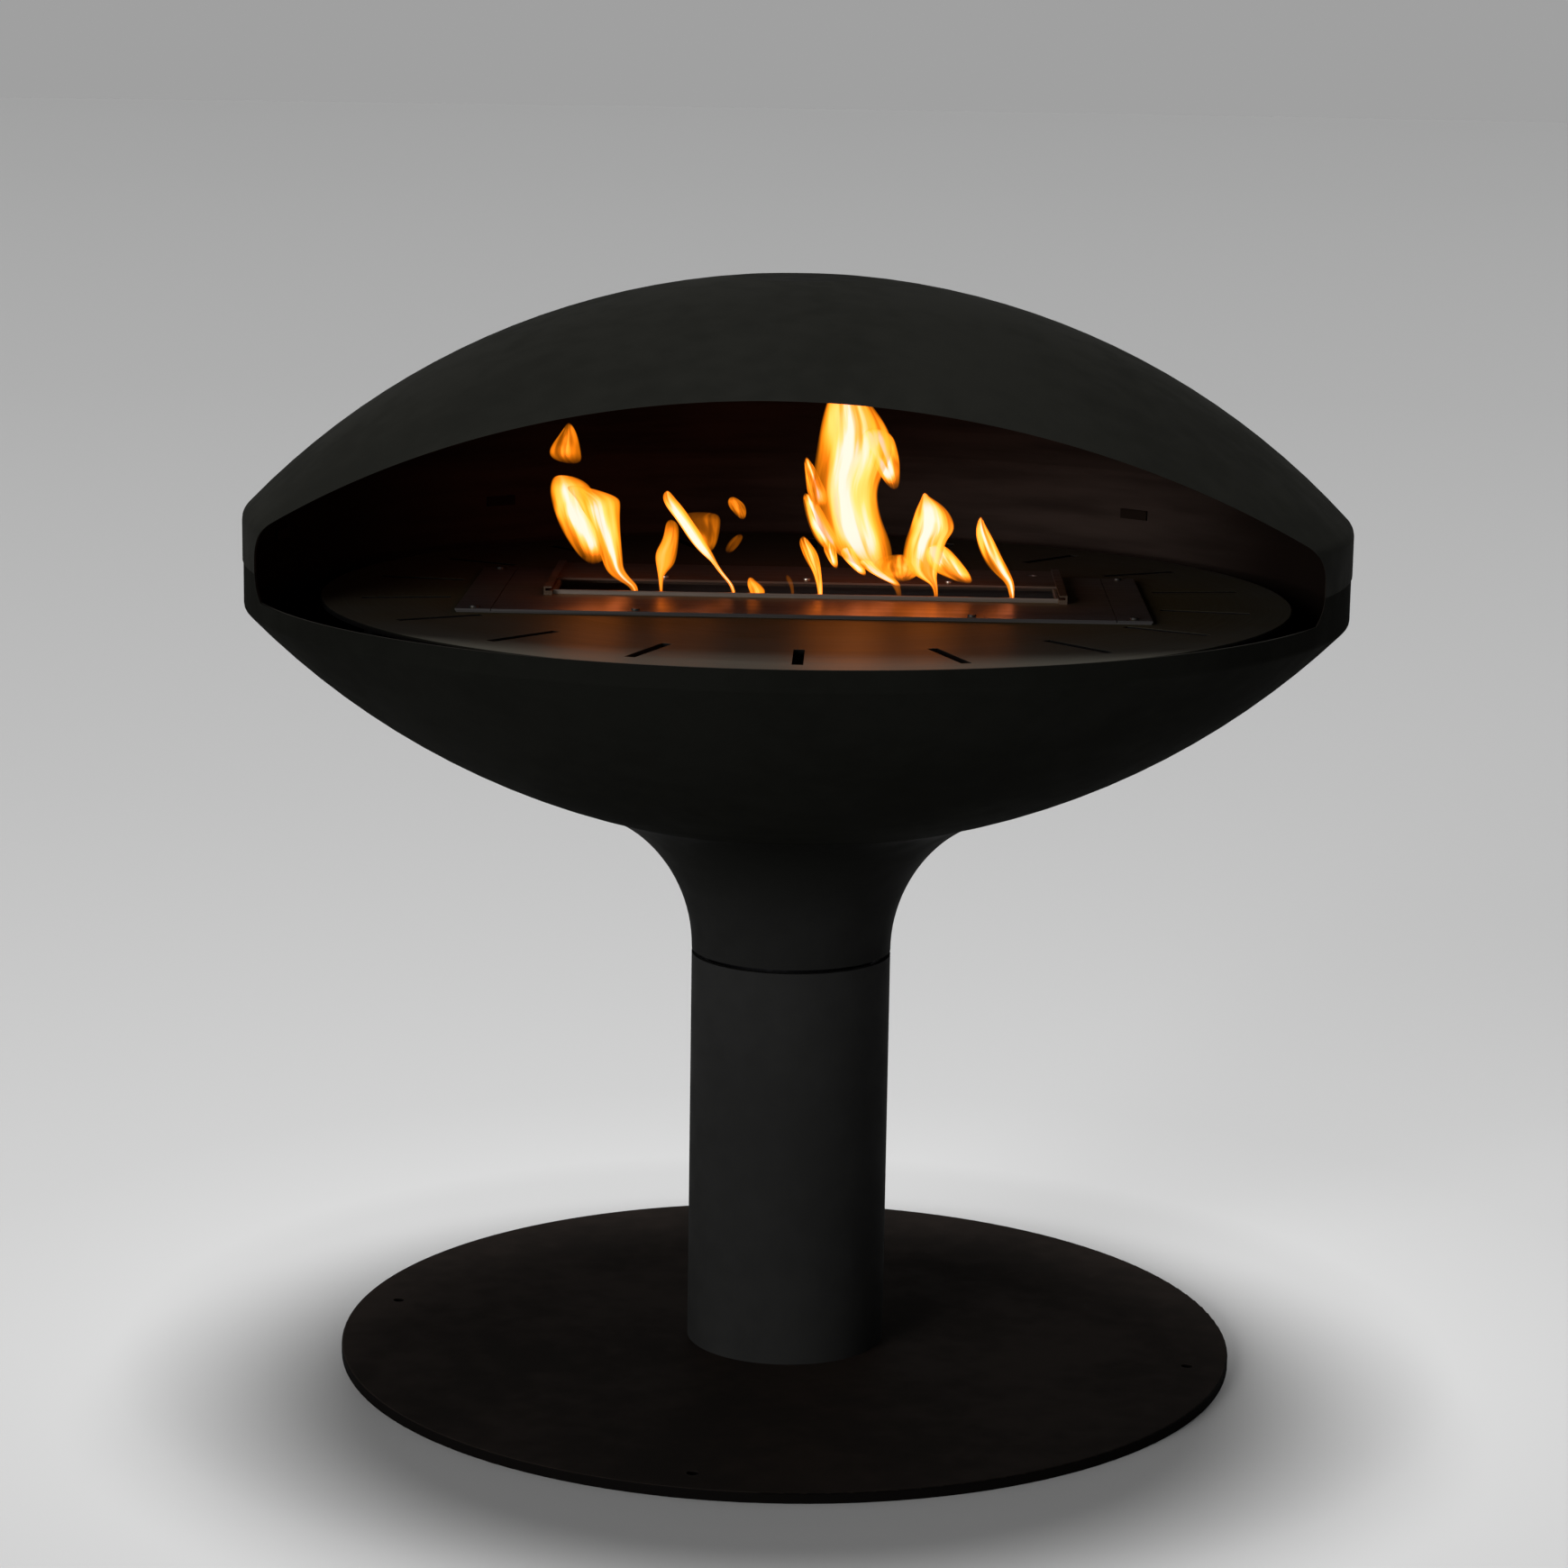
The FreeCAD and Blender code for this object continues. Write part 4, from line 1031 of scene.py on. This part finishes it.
@dataclass
class Burner:
    """The slot burner with its lid, rails, screws and absorbent filling."""

    sheet: BrushedSteel = BrushedSteel(
        "steel_burner", colour=(0.075, 0.07, 0.072), stain=(0.085, 0.045, 0.02), reach=0.16
    )
    collar: BrushedSteel = BrushedSteel(
        "steel_collar",
        colour=(0.24, 0.22, 0.21),
        stain=(0.2, 0.15, 0.12),
        smooth=0.24,
        rough=0.36,
        metallic=0.75,
    )
    lid: BrushedSteel = BrushedSteel(
        "steel_lid",
        colour=(0.08, 0.072, 0.07),
        stain=(0.07, 0.04, 0.022),
        smooth=0.28,
        rough=0.4,
        reach=0.12,
    )
    bright: PlainMetal = PlainMetal(
        "steel_bright", colour=(0.6, 0.59, 0.58), shade=(0.42, 0.4, 0.39), roughness=0.24
    )
    dull: PlainMetal = PlainMetal(
        "steel_dull", colour=(0.06, 0.058, 0.056), shade=(0.035, 0.034, 0.033), roughness=0.5
    )
    wool: CeramicWool = CeramicWool("wool_fibre")
    sheets: tuple[str, ...] = (
        "burner_tank", "burner_top", "burner_end_left", "burner_end_right", "lid_rail_left",
        "lid_rail_right",
    )
    wool_half: Triple = (0.2975, 0.1185, 0.02)
    wool_centre: Triple = (0.0, -0.014, 0.7017)
    wool_round: float = 0.007
    lump_size: float = 0.035
    lump_depth: float = 0.005

    def build(self) -> Piece:
        """Model the absorbent filling as a matted pad with soft edges.

        Returns:
            The filling.
        """
        Workbench.clear()
        bpy.ops.mesh.primitive_cube_add(size=2.0, location=ORIGIN)
        pad = bpy.context.object
        pad.name = "wool_pad"
        bpy.ops.object.mode_set(mode="EDIT")
        bpy.ops.mesh.select_all(action="SELECT")
        bpy.ops.transform.resize(value=self.wool_half, center_override=ORIGIN)
        bpy.ops.mesh.bevel(offset=self.wool_round, segments=3, affect="EDGES")
        bpy.ops.mesh.select_all(action="SELECT")
        bpy.ops.mesh.subdivide(number_cuts=11)
        bpy.ops.mesh.remove_doubles(threshold=1e-5)
        bpy.ops.transform.translate(value=self.wool_centre)
        bpy.ops.object.mode_set(mode="OBJECT")
        lumps = bpy.data.textures.new("wool_lumps", "CLOUDS")
        lumps.noise_scale = self.lump_size
        lumps.noise_depth = 3
        Workbench.apply(
            pad,
            "DISPLACE",
            texture=lumps,
            strength=self.lump_depth,
            mid_level=1.0,
            texture_coords="LOCAL",
        )
        pad.data.transform(HEARTH)
        Workbench.clear()
        pad.select_set(True)
        bpy.ops.object.shade_smooth()
        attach(pad, "head")
        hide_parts("wool_filling")
        LOG.info("wool_pad: %d faces", len(pad.data.polygons))
        return pad

    def dress(self, pad: Piece, effects: Effects) -> None:
        """Give the burner's nodes and the filling their finishes.

        Args:
            pad: the filling.
            effects: the shared node groups.
        """
        for names, finish in (
            (["slot_collar"], self.collar),
            (self.sheets, self.sheet),
            (["lid_plate", "lid_stiffener"], self.lid),
            (["lid_rivets"], self.bright),
            (["burner_screws"], self.dull),
        ):
            Workbench.dress_nodes(names, finish, effects)
        Workbench.dress(pad, self.wool.make(effects))
        LOG.info("burner dressed")


@dataclass(frozen=True)
class Tongue:
    """One tongue of flame over the slot.

    sections are its middle X, its height and its half width from below up, in
    millimetres in the hearth's own frame; depth_place is its Y there, body is how
    full it burns, from 0 to 1, and a rooted tongue starts on the filling.
    """

    depth_place: float
    body: float
    rooted: bool
    sections: tuple[Triple, ...]


@dataclass
class Flames:
    """The row of flames that stands in the burner slot, with its sizes in millimetres."""

    groups: dict[str, tuple[Tongue, ...]]
    glow: FlameGlow = FlameGlow("flame_glow")
    root_height: float = 724.0
    root_half: float = 1.6
    root_lean: float = 1.5
    sides: int = 12
    flatness: float = 0.42
    least_deep: float = 1.1
    most_deep: float = 13.0
    sway: float = 3.0
    sway_rate: float = 0.055
    loose_start: float = 0.1

    def grow(self, tongue: Tongue) -> Piece:
        """Model one tongue by drawing a ring up through its sections.

        Args:
            tongue: the tongue's sections.

        Returns:
            The tongue as a closed mesh that knows its core, width and rise.
        """
        rings = self.rings(tongue)
        middle, wide, deep = rings[0]
        Workbench.clear()
        bpy.ops.mesh.primitive_circle_add(vertices=self.sides, radius=wide, location=middle)
        piece = bpy.context.object
        bpy.ops.object.transform_apply(location=True, rotation=True, scale=True)
        bpy.ops.object.mode_set(mode="EDIT")
        bpy.ops.mesh.select_all(action="SELECT")
        bpy.ops.transform.resize(value=(1.0, deep / wide, 1.0), center_override=middle)
        for (low, wide, deep), (high, next_wide, next_deep) in zip(rings, rings[1:]):
            bpy.ops.mesh.extrude_region_move(TRANSFORM_OT_translate={"value": high - low})
            change = (next_wide / wide, next_deep / deep, 1.0)
            bpy.ops.transform.resize(value=change, center_override=high)
        bpy.ops.mesh.merge(type="CENTER")
        Workbench.select_height(piece, middle.z)
        bpy.ops.mesh.merge(type="CENTER")
        bpy.ops.mesh.select_all(action="SELECT")
        bpy.ops.mesh.normals_make_consistent(inside=False)
        bpy.ops.object.mode_set(mode="OBJECT")
        self.mark(piece, rings, tongue)
        Workbench.apply(piece, "SUBSURF", levels=2, render_levels=2)
        return piece

    def rings(self, tongue: Tongue) -> list[Ring]:
        """Work out a tongue's rings, with its root and a slight sway to and fro.

        Args:
            tongue: the tongue's sections.

        Returns:
            Middle, half width and half depth of each ring, in metres.
        """
        first = tongue.sections[0][0]
        root = [(first + self.root_lean, self.root_height, self.root_half)]
        rings = []
        for x, height, half in (*(root if tongue.rooted else ()), *tongue.sections):
            deep = min(max(half * self.flatness, self.least_deep), self.most_deep)
            sway = self.sway * math.sin(height * self.sway_rate + first)
            middle = Vector((x, tongue.depth_place + sway, height)) * MM
            rings.append((middle, half * MM, deep * MM))
        return rings

    def mark(self, piece: Piece, rings: list[Ring], tongue: Tongue) -> None:
        """Store how near the core and how high each point of a tongue is.

        Args:
            piece: the tongue's mesh.
            rings: middle, half width and half depth of its rings.
            tongue: the tongue; one without a root starts bright.
        """
        low, high = rings[0][0].z, rings[-1][0].z
        start = 0.0 if tongue.rooted else self.loose_start
        values: dict[str, list[float]] = {"core": [], "across": [], "rise": [], "body": []}
        for point in piece.data.vertices:
            middle, wide, deep = min(rings, key=lambda ring: abs(ring[0].z - point.co.z))
            values["core"].append(min(abs(point.co.y - middle.y) / deep, 1.0))
            values["across"].append((point.co.x - middle.x) / wide)
            values["rise"].append(start + (1.0 - start) * (point.co.z - low) / (high - low))
            values["body"].append(tongue.body)
        for name, numbers in values.items():
            attribute = piece.data.attributes.new(name, "FLOAT", "POINT")
            attribute.data.foreach_set("value", numbers)

    def build(self, effects: Effects) -> None:
        """Model each flame, join its tongues and set it over the slot.

        Args:
            effects: the shared node groups.
        """
        material = self.glow.make(effects)
        material.surface_render_method = "BLENDED"
        for name, tongues in self.groups.items():
            pieces = [self.grow(tongue) for tongue in tongues]
            Workbench.clear()
            for piece in pieces:
                piece.select_set(True)
            flame = pieces[0]
            bpy.context.view_layer.objects.active = flame
            if len(pieces) > 1:
                bpy.ops.object.join()
            flame.name = "flame_" + name
            flame.data.transform(HEARTH)
            bpy.ops.object.shade_smooth()
            Workbench.dress(flame, material)
            flame.visible_shadow = False
            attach(flame, "head")
            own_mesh(flame)
            LOG.info("%s: %d faces", flame.name, len(flame.data.polygons))


FLAME_GROUPS: dict[str, tuple[Tongue, ...]] = {
    "left": (
        Tongue(-19.0, 1.0, True, (
            (-161.7, 755.9, 3.0), (-169.8, 761.2, 6.7), (-178.3, 767.5, 8.9), (-183.4, 774.6, 9.1),
            (-185.0, 782.4, 10.4), (-187.7, 793.0, 12.0), (-190.9, 805.4, 14.2), (-193.9, 817.8, 16.7),
            (-196.0, 828.4, 18.9), (-197.4, 836.9, 21.1), (-199.9, 841.9, 22.2), (-208.1, 846.8, 18.5),
            (-217.8, 851.1, 12.0), (-225.8, 854.6, 5.6),
        )),
        Tongue(-12.0, 0.7, False, (
            (-203.5, 773.2, 1.5), (-203.1, 783.8, 14.4), (-206.8, 796.6, 19.8), (-210.5, 807.2, 22.9),
            (-214.8, 817.8, 23.7), (-220.3, 828.4, 22.0), (-222.6, 839.1, 22.6), (-225.1, 847.5, 21.5),
            (-227.2, 854.6, 18.1), (-231.4, 859.6, 11.5), (-235.5, 862.4, 2.8),
        )),
        Tongue(-13.0, 0.42, False, (
            (-221.5, 870.9, 6.3), (-228.4, 875.9, 13.9), (-231.1, 881.5, 16.3), (-230.9, 888.6, 15.0),
            (-228.6, 897.5, 10.7), (-227.0, 906.3, 5.7), (-227.7, 914.8, 1.7),
        )),
    ),
    "slant": (
        Tongue(-21.0, 1.0, True, (
            (-68.0, 758.4, 2.0), (-76.3, 767.2, 1.9), (-83.8, 776.1, 2.2), (-88.2, 783.1, 2.4),
            (-94.6, 790.2, 5.7), (-101.6, 799.1, 7.2), (-107.3, 807.9, 8.0), (-113.3, 816.8, 7.6),
            (-119.5, 825.6, 7.8), (-126.1, 834.5, 8.3), (-130.9, 841.6, 6.7), (-132.8, 846.9, 4.3),
            (-133.0, 851.5, 1.1),
        )),
        Tongue(-12.0, 0.42, True, (
            (-138.8, 760.1, 1.7), (-138.6, 769.7, 3.3), (-134.9, 776.8, 8.7), (-134.4, 784.9, 10.7),
            (-133.3, 792.0, 10.7), (-130.1, 800.8, 8.1), (-128.9, 809.7, 7.2), (-128.9, 816.8, 6.5),
            (-130.5, 823.1, 2.2),
        )),
        Tongue(-8.0, 0.3, False, (
            (-95.8, 784.9, 3.7), (-97.0, 795.5, 10.5), (-99.3, 806.2, 16.3), (-102.5, 816.8, 21.1),
            (-104.6, 826.0, 23.3), (-97.4, 829.5, 13.9),
        )),
    ),
    "wisp": (
        Tongue(-6.0, 0.12, False, (
            (-76.1, 787.0, 2.8), (-72.8, 793.8, 5.6), (-69.2, 799.8, 6.3), (-65.3, 805.1, 4.8),
            (-62.9, 809.3, 1.9),
        )),
        Tongue(-6.0, 0.35, False, (
            (-60.9, 819.6, 2.0), (-62.9, 825.6, 4.8), (-65.7, 831.6, 8.1), (-68.2, 837.0, 8.5),
            (-70.8, 841.6, 5.0), (-71.7, 844.7, 1.9),
        )),
    ),
    "spark": (
        Tongue(-30.0, 0.5, True, (
            (-45.5, 756.2, 8.1), (-47.3, 758.7, 7.8), (-49.2, 762.6, 6.8), (-52.2, 767.2, 3.7),
            (-52.9, 771.1, 1.9),
        )),
        Tongue(-26.0, 0.05, True, (
            (-12.2, 760.8, 1.5), (-16.1, 767.9, 3.3), (-19.3, 775.7, 1.5),
        )),
    ),
    "small": (
        Tongue(-20.0, 0.6, True, (
            (13.6, 758.4, 2.6), (11.9, 767.2, 3.3), (9.9, 776.1, 4.6), (6.2, 784.9, 7.0),
            (2.7, 793.8, 7.8), (-2.5, 802.6, 5.7), (-4.1, 811.1, 2.6),
        )),
    ),
    "centre": (
        Tongue(-16.0, 1.0, True, (
            (89.4, 760.8, 2.6), (79.5, 769.3, 7.0), (69.4, 776.4, 12.4), (62.7, 783.5, 20.2),
            (55.6, 790.6, 27.6), (50.5, 799.8, 31.5), (45.2, 810.4, 33.3), (40.7, 821.0, 33.1),
            (37.5, 831.6, 32.8), (35.4, 842.3, 32.8), (34.7, 852.9, 32.8), (36.3, 863.5, 33.7),
            (39.7, 874.1, 35.7), (43.0, 884.7, 37.7), (44.3, 895.4, 37.6), (43.6, 906.0, 35.3),
            (42.0, 916.6, 31.5), (39.3, 927.2, 26.1), (37.2, 936.1, 21.3), (35.1, 944.9, 16.1),
            (32.4, 955.5, 9.6), (31.9, 962.6, 2.8),
        )),
        Tongue(-12.0, 0.9, False, (
            (82.9, 852.2, 2.0), (81.3, 857.8, 5.9), (78.3, 866.0, 9.4), (75.4, 875.2, 12.4),
            (71.9, 884.7, 15.0), (67.5, 895.4, 16.7), (64.3, 906.0, 16.3), (61.1, 914.8, 11.1),
        )),
        Tongue(-12.0, 0.6, False, (
            (15.9, 829.9, 10.2), (10.8, 844.0, 10.7), (6.7, 856.4, 8.7), (3.5, 867.0, 6.5),
            (0.2, 875.9, 4.4), (-2.7, 886.2, 1.5),
        )),
        Tongue(-12.0, 0.75, False, (
            (30.5, 787.4, 8.7), (23.4, 799.8, 12.4), (17.0, 810.4, 12.8), (10.5, 821.0, 10.4),
            (6.4, 831.6, 9.1), (1.6, 842.3, 6.7), (-3.5, 851.5, 1.7),
        )),
        Tongue(-13.0, 0.65, False, (
            (29.2, 774.3, 0.7), (26.6, 782.1, 3.9), (23.2, 790.9, 5.9), (21.8, 799.8, 7.4),
            (22.5, 808.6, 5.9),
        )),
        Tongue(-13.0, 0.7, False, (
            (57.7, 767.9, 0.9), (51.5, 776.1, 5.6), (44.4, 784.9, 8.1), (39.8, 793.4, 10.0),
            (38.4, 801.5, 7.8),
        )),
        Tongue(-14.0, 0.7, False, (
            (93.0, 758.0, 1.1), (83.1, 765.8, 5.6), (71.0, 772.9, 8.5), (59.3, 782.1, 11.1),
            (51.9, 790.9, 10.7),
        )),
    ),
    "right": (
        Tongue(-15.0, 0.95, True, (
            (124.1, 758.4, 1.9), (121.1, 765.4, 3.9), (113.0, 772.5, 11.7), (109.4, 781.4, 17.6),
            (110.0, 790.2, 19.6), (111.4, 799.1, 20.0), (113.7, 807.9, 20.5), (118.3, 815.0, 22.4),
            (119.5, 822.1, 21.5), (119.2, 829.2, 18.9), (117.8, 836.2, 15.2), (115.1, 843.3, 8.7),
            (111.7, 847.9, 3.3), (110.9, 852.9, 0.9),
        )),
        Tongue(-11.0, 0.95, False, (
            (157.8, 763.0, 2.2), (147.9, 769.3, 11.1), (137.9, 776.1, 17.8), (132.3, 783.1, 17.8),
            (127.8, 790.2, 16.1), (124.8, 798.0, 11.5), (123.1, 804.7, 5.6),
        )),
        Tongue(-12.0, 0.5, False, (
            (93.0, 763.7, 1.9), (89.4, 769.3, 13.0), (88.7, 775.7, 24.1), (88.4, 782.8, 25.9),
            (88.7, 788.5, 21.8), (88.7, 794.1, 15.9),
        )),
    ),
    "far_right": (
        Tongue(-17.0, 1.0, True, (
            (196.2, 765.1, 3.1), (189.6, 772.5, 6.7), (182.6, 781.4, 9.3), (177.1, 790.2, 9.8),
            (173.0, 799.1, 9.3), (169.5, 807.9, 8.5), (166.3, 816.8, 6.3), (164.9, 824.6, 3.3),
            (164.7, 832.3, 1.3),
        )),
    ),
}


@dataclass(frozen=True)
class Lamp:
    """A wide distant lamp.

    turn is in degrees from the front to the right, rise in degrees above the horizon,
    and spread is the lamp's apparent width in degrees.
    """

    name: str
    turn: float
    rise: float
    strength: float
    spread: float

    def hang(self, distance: float) -> None:
        """Add the lamp to the scene, aimed at the origin.

        Args:
            distance: how far from the origin it stands; its light stays the same.
        """
        lamp = bpy.data.lights.new(self.name, "SUN")
        lamp.energy = self.strength
        lamp.angle = math.radians(self.spread)
        turn, rise = math.radians(self.turn), math.radians(self.rise)
        level = math.cos(rise)
        towards = Vector((math.sin(turn) * level, -math.cos(turn) * level, math.sin(rise)))
        place = bpy.data.objects.new(self.name, lamp)
        place.location = towards * distance
        place.rotation_euler = towards.to_track_quat("Z", "Y").to_euler()
        bpy.context.scene.collection.objects.link(place)


@dataclass
class Studio:
    """Floor, soft light and camera."""

    floor_radius: float = 60.0
    floor_drop: float = 0.0004
    wall_grey: float = 0.352
    room_grey: float = 0.13
    lamps: tuple[Lamp, ...] = (
        Lamp("top", turn=181.0, rise=79.0, strength=2.55, spread=20.0),
        Lamp("key", turn=-34.0, rise=8.0, strength=2.45, spread=30.0),
    )
    lamp_distance: float = 6.0
    sensor: float = 36.0
    lens: float = 90.488
    far_end: float = 300.0
    camera_place: Triple = (0.17796, -3.73914, 1.2843)
    heading: float = 0.05006
    pitch: float = 0.18993
    roll: float = 0.01587

    def build(self, effects: Effects) -> None:
        """Set up floor, world, lamps and camera.

        Args:
            effects: the shared node groups.
        """
        self.make_floor(effects)
        self.make_light()
        self.make_camera()
        bpy.context.scene.view_settings.view_transform = "Standard"
        LOG.info("studio ready")

    def make_floor(self, effects: Effects) -> None:
        """Lay the floor.

        Args:
            effects: the shared node groups.
        """
        Workbench.clear()
        bpy.ops.mesh.primitive_circle_add(
            vertices=128, radius=self.floor_radius, fill_type="NGON"
        )
        floor = bpy.context.object
        floor.name = "floor"
        bpy.ops.object.mode_set(mode="EDIT")
        bpy.ops.mesh.select_all(action="SELECT")
        bpy.ops.transform.translate(value=(0.0, 0.0, -self.floor_drop))
        bpy.ops.object.mode_set(mode="OBJECT")
        Workbench.dress(floor, FloorPaint("floor_pale").make(effects))

    def make_light(self) -> None:
        """Light the room softly with a grey world and two wide lamps."""
        world = bpy.data.worlds.new("studio")
        world.use_nodes = True
        graph = Graph(world.node_tree)
        background = next(node for node in graph.tree.nodes if node.type == "BACKGROUND")
        path = graph.add("ShaderNodeLightPath").outputs
        seen = graph.maths("MAXIMUM", path["Is Camera Ray"], path["Is Glossy Ray"])
        seen = graph.maths("MAXIMUM", seen, path["Is Transmission Ray"])
        room, wall = [self.room_grey] * 3, [self.wall_grey] * 3
        graph.feed(background, {"Color": graph.blend(seen, room, wall), "Strength": 1.0})
        bpy.context.scene.world = world
        for lamp in self.lamps:
            lamp.hang(self.lamp_distance)

    def make_camera(self) -> None:
        """Set the camera at the picture's angle."""
        data = bpy.data.cameras.new("view")
        data.sensor_width = self.sensor
        data.lens = self.lens
        data.clip_end = self.far_end
        camera = bpy.data.objects.new("view", data)
        bpy.context.scene.collection.objects.link(camera)
        ahead = Vector((-math.sin(self.heading), math.cos(self.heading), 0.0))
        right = Vector((math.cos(self.heading), math.sin(self.heading), 0.0))
        rise = Vector((0.0, 0.0, 1.0))
        forward = ahead * math.cos(self.pitch) - rise * math.sin(self.pitch)
        up = ahead * math.sin(self.pitch) + rise * math.cos(self.pitch)
        side = right * math.cos(self.roll) + up * math.sin(self.roll)
        top = up * math.cos(self.roll) - right * math.sin(self.roll)
        turn = Matrix((side, top, -forward)).transposed()
        camera.matrix_world = Matrix.Translation(self.camera_place) @ turn.to_4x4()
        bpy.context.scene.camera = camera


def main() -> None:
    """Build and dress the fireplace, then set up the studio."""
    logging.basicConfig(level=logging.INFO, format="%(name)s: %(message)s")
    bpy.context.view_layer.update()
    effects = Effects()
    Shells().dress(effects)
    Swivel().dress(effects)
    Hearth().dress(effects)
    burner = Burner()
    burner.dress(burner.build(), effects)
    Flames(groups=FLAME_GROUPS).build(effects)
    Studio().build(effects)


if __name__ == "__main__":
    main()
